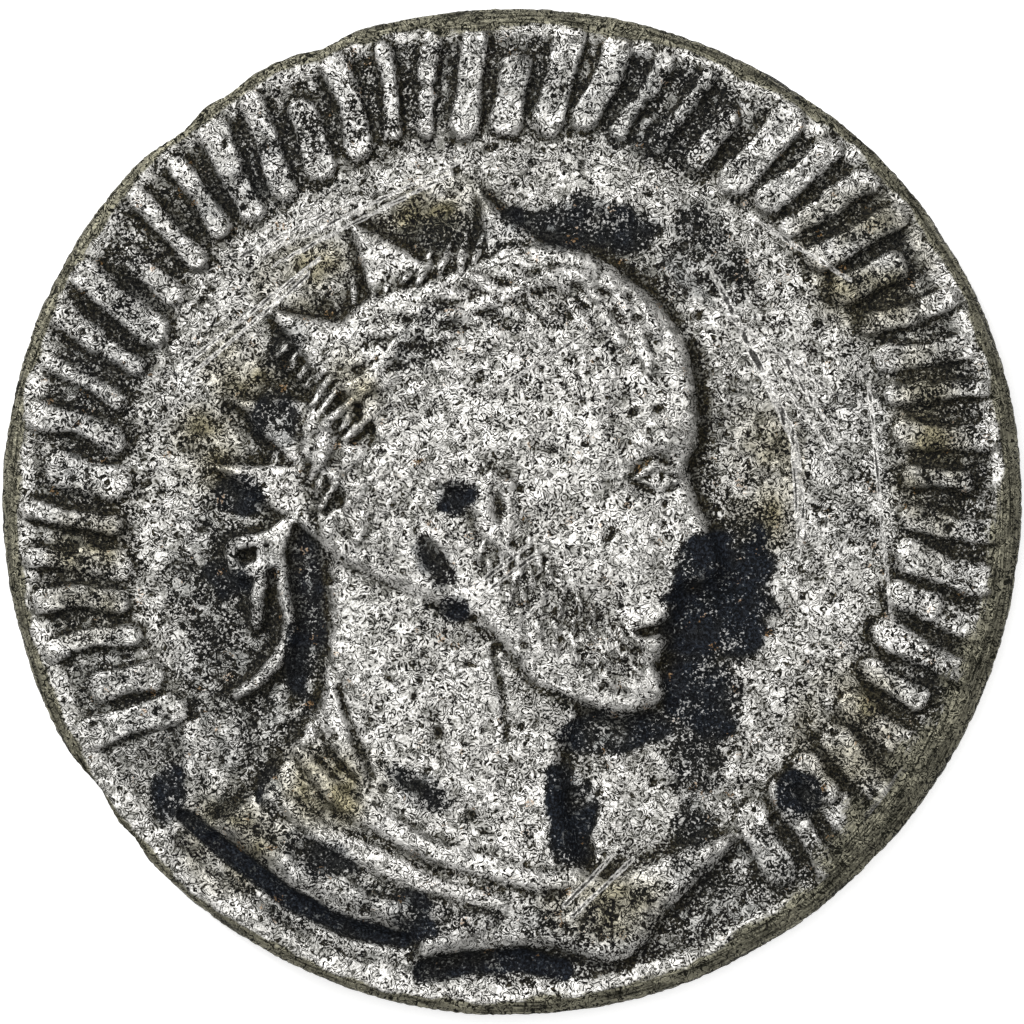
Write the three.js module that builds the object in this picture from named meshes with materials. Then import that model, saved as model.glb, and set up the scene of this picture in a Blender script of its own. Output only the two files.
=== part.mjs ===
import * as THREE from 'three';

// A worn silvered coin, one struck disc, lying on its plainer side with the crowned portrait up.
// Millimetres: X right and Y up as the portrait is seen, Z up from the surface that it lies on.

// Disc
const coinDiameter = 22.0;
const discThickness = 0.95;
const edgeBulge = 0.07;
const outlineWaves = [
  { count: 1, share: 0.0034, peak: 51 },
  { count: 2, share: 0.0061, peak: 1 },
  { count: 3, share: 0.0057, peak: 27 },
];

// Rim: rounded over at the edge, most of all on the worn side at lower right
const rimRelief = 0.07;
const rimWidth = 0.75;
const edgeRoundWidth = 0.32;
const edgeRoundDrop = 0.3;
const wornSideExtraWidth = 0.45;
const wornSideAngle = -38;

// Portrait: the head stands upright and looks right, all other places are shares of its height
const headHeight = 10.4;
const headCentreX = 0.29;
const chinY = -4.5;
const portraitRelief = 0.55;
const bustRelief = 0.34;
const crownRelief = 0.26;
const carvingRelief = 0.15;

// Inscription band: worn strokes in place of an inscription
const legendRelief = 0.19;
const legendStrokeLength = 1.8;
const legendStrokeWidth = 0.5;
const legendMargin = 0.66;
const legendStart = 212;
const legendEnd = -56;
const legendStrokes = 47;

// Underside: a plainer standing figure, its high points worn to one flat plane
const undersideRelief = 0.25;
const undersideWear = 0.1;
const figureHeight = 13.2;
const undersideRimWidth = 1.0;
const undersideLegendMargin = 0.3;
const undersideLegendStart = 215;
const undersideLegendEnd = -35;
const undersideLegendStrokes = 23;

// Faceting
const edgeSegments = 96;
const sampleSpacing = 0.09;
const facetTolerance = 0.008;
const obverseVertices = 3240;
const undersideVertices = 1580;
const closestVertices = 0.05;
const curvePieces = 3;
const spikeSidePieces = 4;
const fanCentre = [0.35, 0.2];
const portraitAttention = 2;
const endCornerAngles = [-50, 0, 50];

const ridgeShoulder = 0.45;
const degree = Math.PI / 180;
const coinRadius = coinDiameter / 2;
const obverseField = undersideRelief + discThickness;

// Curves and distances

function clamp(value, low, high) {
  return Math.min(high, Math.max(low, value));
}

function quarterRound(share) {
  const left = 1 - clamp(share, 0, 1);
  return Math.sqrt(1 - left * left);
}

function smoothCurve(points, pieces, closed) {
  const corners = points.map(([x, y]) => new THREE.Vector3(x, y, 0));
  const curve = new THREE.CatmullRomCurve3(corners, closed, 'catmullrom', 0.5);
  return curve.getPoints(pieces).map((p) => [p.x, p.y]);
}

function smoothLoop(points) {
  return smoothCurve(points, points.length * curvePieces, true).slice(0, -1);
}

function smoothLine(points) {
  return smoothCurve(points, (points.length - 1) * curvePieces, false);
}

// A loop of straight sides with each side cut into equal pieces
function subdivide(loop, pieces) {
  return loop.flatMap((start, i) => {
    const end = loop[(i + 1) % loop.length];
    return Array.from({ length: pieces }, (_, k) => (
      [start[0] + (end[0] - start[0]) * k / pieces, start[1] + (end[1] - start[1]) * k / pieces]
    ));
  });
}

// How far along a segment, from 0 to 1, the place nearest to a point lies
function alongSegment(x, y, start, end) {
  const runX = end[0] - start[0];
  const runY = end[1] - start[1];
  return clamp(((x - start[0]) * runX + (y - start[1]) * runY) / (runX * runX + runY * runY), 0, 1);
}

function segmentDistance(x, y, start, end, along) {
  const offX = x - start[0] - along * (end[0] - start[0]);
  const offY = y - start[1] - along * (end[1] - start[1]);
  return Math.sqrt(offX * offX + offY * offY);
}

// How deep a point lies inside a closed loop, negative outside
function depthInside(loop, x, y) {
  let nearest = Infinity;
  let inside = false;
  for (let i = 0; i < loop.length; i += 1) {
    const start = loop[(i + loop.length - 1) % loop.length];
    const end = loop[i];
    nearest = Math.min(nearest, segmentDistance(x, y, start, end, alongSegment(x, y, start, end)));
    const crosses = (end[1] > y) !== (start[1] > y);
    if (crosses && x < start[0] + (end[0] - start[0]) * (y - start[1]) / (end[1] - start[1])) inside = !inside;
  }
  return inside ? nearest : -nearest;
}

// Height, from 0 to 1, of a flat-topped ridge with sloping sides along a line of points. Its width
// changes evenly from the middle of the line to its ends.
function ridge({ line, width, endWidth = 0.6 }, x, y) {
  let height = 0;
  const pieces = line.length - 1;
  for (let i = 0; i < pieces; i += 1) {
    const along = alongSegment(x, y, line[i], line[i + 1]);
    const fromMiddle = Math.abs((i + along) / pieces * 2 - 1);
    const reach = width * (1 + (endWidth - 1) * fromMiddle);
    const share = segmentDistance(x, y, line[i], line[i + 1], along) / reach;
    height = Math.max(height, clamp((1 - share) / (1 - ridgeShoulder), 0, 1));
  }
  return height;
}

// Points on both sides of a line of points, shifted along its left-hand normal
function besideLine(line, shifts, closed = false) {
  const last = line.length - 1;
  return line.flatMap((point, i) => {
    const before = closed ? line[(i + last) % line.length] : line[Math.max(0, i - 1)];
    const after = closed ? line[(i + 1) % line.length] : line[Math.min(last, i + 1)];
    const run = Math.hypot(after[0] - before[0], after[1] - before[1]);
    const normal = [(before[1] - after[1]) / run, (after[0] - before[0]) / run];
    return shifts(i / last).map((shift) => [point[0] + shift * normal[0], point[1] + shift * normal[1]]);
  });
}

// Where a ridge needs corners: along its feet and its shoulders, and round its two ends
function ridgeCorners({ line, width, endWidth = 0.6 }) {
  const [start, second] = line;
  const middle = [(start[0] + second[0]) / 2, (start[1] + second[1]) / 2];
  const stops = line.length === 2 ? [start, middle, second] : line;
  const sides = besideLine(stops, (along) => {
    const reach = width * (1 + (endWidth - 1) * Math.abs(2 * along - 1));
    return [-reach, -ridgeShoulder * reach, ridgeShoulder * reach, reach];
  });
  const ends = [[stops[0], stops[1]], [stops.at(-1), stops.at(-2)]].flatMap(([end, inner]) => {
    const outwards = Math.atan2(end[1] - inner[1], end[0] - inner[0]) / degree;
    const reach = width * endWidth;
    const foot = endCornerAngles.map((turned) => polar(end, outwards + turned, reach));
    return [...foot, polar(end, outwards, ridgeShoulder * reach)];
  });
  return [...sides, ...ends];
}

// Where a raised shape needs corners: along its outline and where its steep side ends
function loopCorners(loop, sideWidth) {
  return besideLine(loop, () => [0, sideWidth], true);
}

// Height, from 0 to 1, of a soft oval mound
function mound({ at, size, turned = 0 }, x, y) {
  const cos = Math.cos(turned * degree);
  const sin = Math.sin(turned * degree);
  const along = ((x - at[0]) * cos + (y - at[1]) * sin) / size[0];
  const across = ((y - at[1]) * cos - (x - at[0]) * sin) / size[1];
  const left = Math.max(0, 1 - along * along - across * across);
  return left * left;
}

function polar(centre, angle, reach) {
  return [centre[0] + reach * Math.cos(angle * degree), centre[1] + reach * Math.sin(angle * degree)];
}

// Outline of the disc, a little out of round

function outlineRadius(angle) {
  const wave = outlineWaves.reduce((sum, { count, share, peak }) => (
    sum + share * Math.cos(count * (angle - peak * degree))
  ), 0);
  return coinRadius * (1 + wave);
}

const edgeAngles = Array.from({ length: edgeSegments }, (_, i) => 2 * Math.PI * i / edgeSegments);
const edgeXs = edgeAngles.map((angle) => outlineRadius(angle) * Math.cos(angle));
const edgeYs = edgeAngles.map((angle) => outlineRadius(angle) * Math.sin(angle));
const centreX = (Math.max(...edgeXs) + Math.min(...edgeXs)) / 2;
const centreY = (Math.max(...edgeYs) + Math.min(...edgeYs)) / 2;

function outlinePoint(angle, inset) {
  const radius = outlineRadius(angle) - inset;
  return [radius * Math.cos(angle) - centreX, radius * Math.sin(angle) - centreY];
}

function fromEdge(x, y) {
  const angle = Math.atan2(y + centreY, x + centreX);
  return [outlineRadius(angle) - Math.hypot(x + centreX, y + centreY), angle];
}

function edgeDrop(inset, angle) {
  const facing = Math.max(0, Math.cos(angle - wornSideAngle * degree));
  const width = edgeRoundWidth + wornSideExtraWidth * facing ** 3;
  return edgeRoundDrop * (1 - quarterRound(inset / width));
}

// Portrait, in shares of the head's height: u forward from the middle of the head, v up from the chin.
// The face keeps the canon of three equal thirds from hairline to chin.

const sideWidth = 0.03;
const headStep = 0.55;
const headDome = 0.3;
const headDomeReach = 0.26;
const bustStep = 0.6;
const bustDome = 0.25;
const bustDomeReach = 0.2;
const headLoop = smoothLoop([
  [0.17, 0.0], [0.26, 0.012], [0.3, 0.06], [0.287, 0.118], [0.315, 0.16], [0.302, 0.19], [0.325, 0.222],
  [0.33, 0.268], [0.385, 0.28], [0.423, 0.315], [0.385, 0.42], [0.345, 0.508], [0.368, 0.575],
  [0.362, 0.69], [0.325, 0.82], [0.2, 0.95], [0.0, 1.0], [-0.22, 0.96], [-0.4, 0.82], [-0.475, 0.62],
  [-0.46, 0.45], [-0.4, 0.3], [-0.26, 0.2], [-0.1, 0.13], [0.03, 0.05],
]);
const bustLoop = smoothLoop([
  [-0.36, 0.4], [-0.42, 0.17], [-0.45, 0.02], [-0.57, -0.14], [-0.685, -0.235], [-0.61, -0.267],
  [-0.475, -0.371], [-0.373, -0.423], [-0.25, -0.448], [-0.238, -0.505], [-0.138, -0.489],
  [0.066, -0.486], [0.215, -0.51], [0.312, -0.394], [0.457, -0.25], [0.363, -0.238], [0.238, -0.29],
  [0.15, -0.31], [0.104, -0.207], [0.086, -0.083], [0.1, 0.1],
]);
const facialForms = [
  { name: 'cheekbone', at: [0.17, 0.37], size: [0.15, 0.11], turned: 20, rise: 0.6 },
  { name: 'temple', at: [0.2, 0.64], size: [0.07, 0.1], turned: 0, rise: -0.45 },
  { name: 'brow', at: [0.3, 0.575], size: [0.1, 0.035], turned: -8, rise: 0.7 },
  { name: 'eye socket', at: [0.27, 0.505], size: [0.085, 0.06], turned: 0, rise: -1.2 },
  { name: 'eyeball', at: [0.275, 0.503], size: [0.048, 0.032], turned: 0, rise: 1.2 },
  { name: 'nostril wing', at: [0.352, 0.305], size: [0.038, 0.033], turned: 0, rise: 0.7 },
  { name: 'upper lip', at: [0.29, 0.215], size: [0.05, 0.02], turned: 10, rise: 0.7 },
  { name: 'lower lip', at: [0.285, 0.165], size: [0.045, 0.022], turned: -10, rise: 0.7 },
  { name: 'chin', at: [0.255, 0.07], size: [0.06, 0.05], turned: 0, rise: 0.5 },
  { name: 'cheek hollow', at: [0.13, 0.22], size: [0.1, 0.08], turned: 0, rise: -0.4 },
  { name: 'jaw', at: [-0.02, 0.2], size: [0.14, 0.07], turned: -35, rise: 0.4 },
  { name: 'ear', at: [-0.06, 0.43], size: [0.055, 0.095], turned: 8, rise: 1.1 },
  { name: 'ear hollow', at: [-0.055, 0.44], size: [0.025, 0.05], turned: 8, rise: -1.3 },
];
const facialLines = [
  { name: 'upper lid', line: [[0.228, 0.5], [0.27, 0.53], [0.318, 0.51]], width: 0.012, rise: 0.5 },
  { name: 'mouth', line: [[0.238, 0.188], [0.31, 0.19]], width: 0.013, rise: -0.7 },
  { name: 'nose ridge', line: [[0.345, 0.51], [0.405, 0.33]], width: 0.028, rise: 0.35 },
  { name: 'ear rim', line: [[-0.03, 0.35], [-0.09, 0.39], [-0.105, 0.46], [-0.07, 0.51], [-0.03, 0.49]],
    width: 0.018, rise: 0.6 },
];
const throat = { at: [0.0, 0.03], size: [0.2, 0.12], turned: -25, rise: -0.7 };
const neckLines = [
  { name: 'long neck muscle', line: [[-0.2, 0.15], [-0.04, -0.24]], width: 0.06, rise: 0.5 },
  { name: 'collar', line: [[-0.48, -0.05], [-0.38, -0.17], [-0.2, -0.27], [0.01, -0.33], [0.16, -0.33]],
    width: 0.032, rise: 0.9 },
  { name: 'cloak fold behind', line: [[-0.43, 0.1], [-0.35, -0.12]], width: 0.028, rise: 0.7 },
  { name: 'cloak fold on shoulder', line: [[-0.55, -0.135], [-0.4, -0.25], [-0.2, -0.34], [-0.05, -0.38]],
    width: 0.03, rise: 0.7 },
  { name: 'cloak hem', line: [[-0.62, -0.21], [-0.47, -0.31], [-0.3, -0.385], [-0.18, -0.405]],
    width: 0.028, rise: 0.7 },
  { name: 'cloak end', line: [[-0.25, -0.49], [-0.165, -0.446], [-0.085, -0.415]], width: 0.038, rise: 0.9 },
  { name: 'chest fold', line: [[0.16, -0.33], [0.24, -0.39], [0.26, -0.49]], width: 0.028, rise: 0.7 },
  { name: 'shoulder fold', line: [[0.38, -0.26], [0.34, -0.37], [0.28, -0.45]], width: 0.028, rise: 0.7 },
  { name: 'breast fold', line: [[0.03, -0.35], [0.07, -0.46]], width: 0.028, rise: 0.6 },
];

// Crown: five spikes behind and above the skull on a thin band, and the tied ribbon ends at the nape
const skullCentre = [0, 0.5];
const spikeBaseReach = 0.43;
const spikeBaseHalfAngle = 14;
const spikeSideWidth = 0.016;
const spikes = [
  { base: 88, tip: 100, reach: 0.63 },
  { base: 121, tip: 124, reach: 0.675 },
  { base: 145, tip: 147, reach: 0.66 },
  { base: 171, tip: 164, reach: 0.65 },
  { base: 188, tip: 177, reach: 0.67 },
];
const spikeLoops = spikes.map(({ base, tip, reach }) => subdivide([
  polar(skullCentre, base - spikeBaseHalfAngle, spikeBaseReach),
  polar(skullCentre, tip, reach),
  polar(skullCentre, base + spikeBaseHalfAngle, spikeBaseReach),
], spikeSidePieces));
const ribbonWidth = 0.022;
const ribbons = [
  [[-0.46, 0.44], [-0.52, 0.38], [-0.6, 0.36], [-0.585, 0.31], [-0.52, 0.335], [-0.49, 0.39]],
  [[-0.52, 0.37], [-0.5, 0.29], [-0.495, 0.17], [-0.545, 0.1], [-0.6, 0.06]],
  [[-0.54, 0.35], [-0.55, 0.28], [-0.56, 0.2]],
].map((line) => ({ line: smoothLine(line), width: ribbonWidth, endWidth: 0.8 }));
const band = {
  line: [[-0.46, 0.42], [-0.4, 0.62], [-0.22, 0.82], [0.06, 0.92], [0.25, 0.9]], width: 0.02, endWidth: 1,
};

// Short cropped locks in rows that follow the skull from the forehead round to the nape
const lockRows = 6;
const lockRowsFrom = 0.1;
const lockRowSpacing = 0.06;
const lockLength = 0.068;
const lockWidth = 0.019;
const lockLean = 62;
const lockSpacing = 0.07;
const lockRise = 0.5;
const bandRise = 0.6;
const hairFrom = 42;
const hairTo = 205;

function makeLocks() {
  const locks = [];
  for (let row = 0; row < lockRows; row += 1) {
    const reach = lockRowsFrom + row * lockRowSpacing;
    const count = Math.floor((hairTo - hairFrom) * degree * reach / lockSpacing);
    for (let i = 0; i < count; i += 1) {
      const angle = hairFrom + (hairTo - hairFrom) * (i + 0.5 * (row % 2)) / count;
      const root = polar(skullCentre, angle, reach);
      locks.push({ line: [root, polar(root, angle + lockLean, lockLength)], width: lockWidth });
    }
  }
  return locks;
}

const locks = makeLocks();

function highest(features, heightOf) {
  return features.reduce((height, feature) => Math.max(height, heightOf(feature)), 0);
}

function portraitAt(x, y) {
  const u = (x - headCentreX) / headHeight;
  const v = (y - chinY) / headHeight;
  const headDepth = depthInside(headLoop, u, v);
  const bustDepth = depthInside(bustLoop, u, v);
  const onHead = clamp(headDepth / sideWidth, 0, 1);
  const onBust = clamp(bustDepth / sideWidth, 0, 1);
  let head = portraitRelief * (headStep * onHead + headDome * quarterRound(headDepth / headDomeReach));
  let bust = bustRelief * (bustStep * onBust + bustDome * quarterRound(bustDepth / bustDomeReach));
  if (headDepth > 0) {
    facialForms.forEach((form) => {
      head += carvingRelief * form.rise * onHead * mound(form, u, v);
    });
    facialLines.forEach((feature) => {
      head += carvingRelief * feature.rise * onHead * ridge(feature, u, v);
    });
    const lock = highest(locks, (feature) => ridge(feature, u, v));
    head += carvingRelief * onHead * (lockRise * lock + bandRise * ridge(band, u, v));
  }
  if (bustDepth > 0) {
    bust += carvingRelief * throat.rise * onBust * mound(throat, u, v);
    neckLines.forEach((feature) => {
      bust += carvingRelief * feature.rise * onBust * ridge(feature, u, v);
    });
  }
  const spike = highest(spikeLoops, (loop) => clamp(depthInside(loop, u, v) / spikeSideWidth, 0, 1));
  const ribbon = highest(ribbons, (feature) => ridge(feature, u, v));
  return Math.max(head, bust, crownRelief * spike, crownRelief * ribbon);
}

function portraitCorners() {
  return [
    ...loopCorners(headLoop, sideWidth),
    ...loopCorners(bustLoop, sideWidth),
    ...spikeLoops.flatMap((loop) => loopCorners(loop, spikeSideWidth)),
    ...ribbons.flatMap(ridgeCorners),
    ...neckLines.flatMap(ridgeCorners),
    ...facialLines.flatMap(ridgeCorners),
    ...locks.flatMap(({ line }) => line),
  ].map(([u, v]) => [headCentreX + u * headHeight, chinY + v * headHeight]);
}

// Inscription band: leaning bars, stacked short bars and shallow bows, in an order that spells nothing

const strokeShapes = [
  { lean: 11, bow: 0, parts: [[0, 1]] },
  { lean: 7, bow: 0.05, parts: [[0.05, 1]] },
  { lean: 12, bow: 0, parts: [[0, 0.36], [0.58, 1]] },
  { lean: 9, bow: -0.06, parts: [[0, 0.97]] },
  { lean: 10, bow: 0, parts: [[0.02, 0.62]] },
  { lean: 12, bow: 0.06, parts: [[0.08, 0.96]] },
  { lean: 8, bow: 0, parts: [[0.3, 1]] },
];
const strokeShapeStep = 4;
const strokeShapeRun = 5;
const strokeReach = 1.5;
const strokeEndWidth = 1.25;

function makeLegend({ start, end, count, margin, length }) {
  const strokes = [];
  for (let i = 0; i < count; i += 1) {
    const shape = strokeShapes[(i * strokeShapeStep + Math.floor(i / strokeShapeRun)) % strokeShapes.length];
    const angle = start + (end - start) * (i + 0.5) / count;
    const lean = Math.tan(shape.lean * degree);
    const outerRadius = outlineRadius(angle * degree) - margin;
    const place = (share) => {
      const radius = outerRadius - length * (1 - share);
      const sideways = length * (lean * (share - 0.5) + shape.bow * (1 - (2 * share - 1) ** 2));
      return polar([-centreX, -centreY], angle - sideways / radius / degree, radius);
    };
    shape.parts.forEach(([from, to]) => {
      const line = [place(from), place((from + to) / 2), place(to)];
      strokes.push({ line, width: legendStrokeWidth / 2, endWidth: strokeEndWidth });
    });
  }
  return strokes;
}

const legend = makeLegend({
  start: legendStart,
  end: legendEnd,
  count: legendStrokes,
  margin: legendMargin,
  length: legendStrokeLength,
});

function legendAt(strokes, x, y) {
  return highest(strokes, (stroke) => {
    const [middleX, middleY] = stroke.line[1];
    const near = Math.abs(x - middleX) + Math.abs(y - middleY) < strokeReach * legendStrokeLength;
    return near ? ridge(stroke, x, y) : 0;
  });
}

function obverseHeight(x, y) {
  const [inset, angle] = fromEdge(x, y);
  const rim = rimRelief * quarterRound((rimWidth - inset) / rimWidth);
  const relief = Math.max(portraitAt(x, y), legendRelief * legendAt(legend, x, y), rim);
  return obverseField + relief - edgeDrop(inset, angle);
}

// Underside, in shares of the figure's height, seen with its own top towards the bottom of the portrait:
// a robed figure that stands on a line, holding out a branch and leaning on a tall staff

const robeSideWidth = 0.05;
const robeFoldDepth = 0.5;
const undersideStrokeRise = 0.6;
const robeLoop = smoothLoop([
  [-0.16, 0.02], [-0.15, 0.2], [-0.11, 0.4], [-0.13, 0.6], [-0.13, 0.74], [-0.05, 0.82], [0.05, 0.82],
  [0.13, 0.74], [0.12, 0.6], [0.11, 0.4], [0.17, 0.2], [0.18, 0.02],
]);
const figureLines = [
  { name: 'staff', line: [[0.27, 0.0], [0.25, 0.93]], width: 0.018, endWidth: 1, rise: 0.8 },
  { name: 'staff arm', line: [[0.1, 0.74], [0.19, 0.6], [0.255, 0.7]], width: 0.035, rise: 0.9 },
  { name: 'head', line: [[0, 0.86], [-0.005, 0.93]], width: 0.062, endWidth: 1, rise: 1 },
  { name: 'branch arm', line: [[-0.1, 0.74], [-0.19, 0.6], [-0.27, 0.56]], width: 0.035, rise: 0.9 },
  { name: 'branch', line: [[-0.27, 0.5], [-0.28, 0.62], [-0.25, 0.76]], width: 0.022, rise: 0.7 },
  { name: 'ground', line: [[-0.33, -0.02], [0.36, -0.02]], width: 0.016, endWidth: 1, rise: 0.8 },
];
const foldLines = [
  { line: [[-0.075, 0.08], [-0.05, 0.4]], width: 0.016 },
  { line: [[0.0, 0.07], [0.005, 0.36]], width: 0.016 },
  { line: [[0.085, 0.08], [0.055, 0.42]], width: 0.016 },
  { line: [[-0.07, 0.7], [0.06, 0.58]], width: 0.018 },
];
const undersideLegend = makeLegend({
  start: undersideLegendStart,
  end: undersideLegendEnd,
  count: undersideLegendStrokes,
  margin: undersideRimWidth + undersideLegendMargin,
  length: legendStrokeLength,
});

function undersideHeight(x, y) {
  const [inset, angle] = fromEdge(x, y);
  const u = x / figureHeight;
  const v = 0.5 - y / figureHeight;
  const fold = highest(foldLines, (feature) => ridge(feature, u, v));
  const robe = clamp(depthInside(robeLoop, u, v) / robeSideWidth, 0, 1) * (1 - robeFoldDepth * fold);
  const lines = highest(figureLines, (feature) => feature.rise * ridge(feature, u, v));
  const rim = clamp((undersideRimWidth - inset) / undersideRimWidth * 2, 0, 1);
  const strokes = undersideStrokeRise * legendAt(undersideLegend, x, -y);
  const proud = (undersideRelief + undersideWear) * Math.max(robe, lines, rim, strokes);
  return Math.max(0, undersideRelief - proud) + edgeDrop(inset, angle);
}

function undersideCorners() {
  return [
    ...loopCorners(robeLoop, robeSideWidth),
    ...figureLines.flatMap(ridgeCorners),
    ...foldLines.flatMap(ridgeCorners),
  ].map(([u, v]) => [u * figureHeight, (0.5 - v) * figureHeight]);
}

// Faceting of one relief face. A fan over the outline takes the corners that its shapes need, then again
// and again the sample that the facets miss by most, and stays a Delaunay mesh all the way.

function cross(a, b, p) {
  return (b[0] - a[0]) * (p[1] - a[1]) - (b[1] - a[1]) * (p[0] - a[0]);
}

function insideCircle(a, b, c, p) {
  const ax = a[0] - p[0];
  const ay = a[1] - p[1];
  const bx = b[0] - p[0];
  const by = b[1] - p[1];
  const cx = c[0] - p[0];
  const cy = c[1] - p[1];
  return (ax * ax + ay * ay) * (bx * cy - cx * by)
    - (bx * bx + by * by) * (ax * cy - cx * ay)
    + (cx * cx + cy * cy) * (ax * by - bx * ay) > 0;
}

class ReliefMesh {
  constructor(loop, centre) {
    this.points = [...loop, centre];
    const hub = loop.length;
    const fan = loop.map((_, i) => ({ corners: [hub, i, (i + 1) % hub], samples: [], error: 0 }));
    fan.forEach((triangle, i) => {
      triangle.beside = [fan[(i + hub - 1) % hub], null, fan[(i + 1) % hub]];
    });
    this.triangles = new Set(fan);
    [this.latest] = fan;
  }

  // Walks from facet to facet towards a point, and gives the facet that holds it
  locate(point) {
    let here = this.latest;
    let step = 0;
    while (step < 3) {
      const start = this.points[here.corners[step]];
      const end = this.points[here.corners[(step + 1) % 3]];
      if (here.beside[step] && cross(start, end, point) < 0) {
        here = here.beside[step];
        step = 0;
      } else {
        step += 1;
      }
    }
    this.latest = here;
    return here;
  }

  // The sample that the facet misses by most
  measure(triangle) {
    const [a, b, c] = triangle.corners.map((corner) => this.points[corner]);
    const area = cross(a, b, c);
    triangle.error = 0;
    triangle.samples.forEach((sample) => {
      const shares = [cross(b, c, sample) / area, cross(c, a, sample) / area, cross(a, b, sample) / area];
      const facet = shares[0] * a[2] + shares[1] * b[2] + shares[2] * c[2];
      const error = Math.abs(sample[2] - facet) * sample[3];
      if (error > triangle.error) {
        triangle.error = error;
        triangle.worst = sample;
      }
    });
  }

  // Takes out every facet whose circle holds the point, and fans the gap from the point
  insert(point) {
    const home = this.locate(point);
    const gap = new Set([home]);
    const border = [];
    gap.forEach((triangle) => {
      triangle.beside.forEach((next) => {
        if (next && insideCircle(...next.corners.map((corner) => this.points[corner]), point)) gap.add(next);
      });
    });
    gap.forEach((triangle) => {
      this.triangles.delete(triangle);
      triangle.beside.forEach((next, i) => {
        const edge = [triangle.corners[i], triangle.corners[(i + 1) % 3]];
        if (!gap.has(next)) border.push({ edge, next, old: triangle });
      });
    });
    const hub = this.points.push(point) - 1;
    const startingAt = new Map();
    const endingAt = new Map();
    border.forEach(({ edge: [start, end], next, old }) => {
      const triangle = { corners: [hub, start, end], beside: [null, next, null], samples: [], error: 0 };
      if (next) next.beside[next.beside.indexOf(old)] = triangle;
      startingAt.set(start, triangle);
      endingAt.set(end, triangle);
      this.triangles.add(triangle);
    });
    startingAt.forEach((triangle, start) => {
      triangle.beside[0] = endingAt.get(start);
      triangle.beside[2] = startingAt.get(triangle.corners[2]);
      this.latest = triangle;
    });
    gap.forEach((triangle) => {
      triangle.samples.filter((sample) => sample !== point).forEach((sample) => {
        this.locate(sample).samples.push(sample);
      });
    });
    startingAt.forEach((triangle) => this.measure(triangle));
  }

  insertApart(point, spacing) {
    const home = this.locate(point);
    const crowded = home.corners.some((corner) => (
      Math.hypot(this.points[corner][0] - point[0], this.points[corner][1] - point[1]) < spacing
    ));
    if (!crowded) this.insert(point);
  }

  refine(samples, vertexBudget) {
    samples.forEach((sample) => this.locate(sample).samples.push(sample));
    this.triangles.forEach((triangle) => this.measure(triangle));
    while (this.points.length < vertexBudget) {
      let poorest = { error: 0 };
      this.triangles.forEach((triangle) => {
        if (triangle.error > poorest.error) poorest = triangle;
      });
      if (poorest.error < facetTolerance) return;
      this.insert(poorest.worst);
    }
  }
}

// Repeatable scatter, so that samples never line up in exact rows
function scatter(seed) {
  const value = Math.sin(seed * 127.1) * 43758.5453;
  return (value - Math.floor(value) - 0.5) * 0.5;
}

function makeSamples(heightAt, attentionAt) {
  const samples = [];
  const steps = Math.ceil(coinRadius * 1.05 / sampleSpacing);
  for (let row = -steps; row <= steps; row += 1) {
    for (let column = -steps; column <= steps; column += 1) {
      const seed = row * 1000 + column;
      const x = (column + scatter(seed)) * sampleSpacing;
      const y = (row + scatter(seed + 0.5)) * sampleSpacing;
      const onFace = fromEdge(x, y)[0] > edgeBulge + sampleSpacing;
      if (onFace) samples.push([x, y, heightAt(x, y), attentionAt(x, y)]);
    }
  }
  return samples;
}

function relief({ heightAt, attentionAt, rings, corners, vertexBudget }) {
  const withHeight = ([x, y]) => [x, y, heightAt(x, y)];
  const ringAt = (inset) => edgeAngles.map((angle) => withHeight(outlinePoint(angle, inset)));
  const mesh = new ReliefMesh(ringAt(edgeBulge), withHeight(fanCentre));
  rings.forEach((inset) => ringAt(inset).forEach((point) => mesh.insert(point)));
  corners.forEach((corner) => {
    const onFace = fromEdge(...corner)[0] > edgeBulge + sampleSpacing;
    if (onFace) mesh.insertApart(withHeight(corner), closestVertices);
  });
  mesh.refine(makeSamples(heightAt, attentionAt), vertexBudget);
  return mesh;
}

// The disc: the two faces and the bulging edge between them, as one closed skin

function makeCoinGeometry() {
  const obverse = relief({
    heightAt: obverseHeight,
    attentionAt: (x, y) => (portraitAt(x, y) > 0 ? portraitAttention : 1),
    rings: [edgeRoundWidth / 2, edgeRoundWidth, rimWidth],
    corners: [...legend.flatMap(ridgeCorners), ...portraitCorners()],
    vertexBudget: obverseVertices,
  });
  const underside = relief({
    heightAt: undersideHeight,
    attentionAt: () => 1,
    rings: [edgeRoundWidth / 2, undersideRimWidth / 2, undersideRimWidth],
    corners: [
      ...undersideLegend.flatMap(ridgeCorners).map(([x, y]) => [x, -y]),
      ...undersideCorners(),
    ],
    vertexBudget: undersideVertices,
  });
  const positions = [];
  const indices = [];
  const addFace = (mesh, flipped) => {
    const first = positions.length / 3;
    mesh.points.forEach(([x, y, z]) => positions.push(x, y, z));
    mesh.triangles.forEach(({ corners: [a, b, c] }) => {
      indices.push(first + a, first + (flipped ? c : b), first + (flipped ? b : c));
    });
    return first;
  };
  const upperLoop = addFace(obverse, false);
  const lowerLoop = addFace(underside, true);
  const middleLoop = positions.length / 3;
  edgeAngles.forEach((angle, i) => {
    const middle = (obverse.points[i][2] + underside.points[i][2]) / 2;
    positions.push(...outlinePoint(angle, 0), middle);
  });
  edgeAngles.forEach((_, i) => {
    const next = (i + 1) % edgeSegments;
    [[upperLoop, middleLoop], [middleLoop, lowerLoop]].forEach(([above, below]) => {
      indices.push(above + i, below + i, below + next);
      indices.push(above + i, below + next, above + next);
    });
  });
  const geometry = new THREE.BufferGeometry();
  geometry.setAttribute('position', new THREE.Float32BufferAttribute(positions, 3));
  geometry.setIndex(indices);
  geometry.computeVertexNormals();
  return geometry;
}

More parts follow.
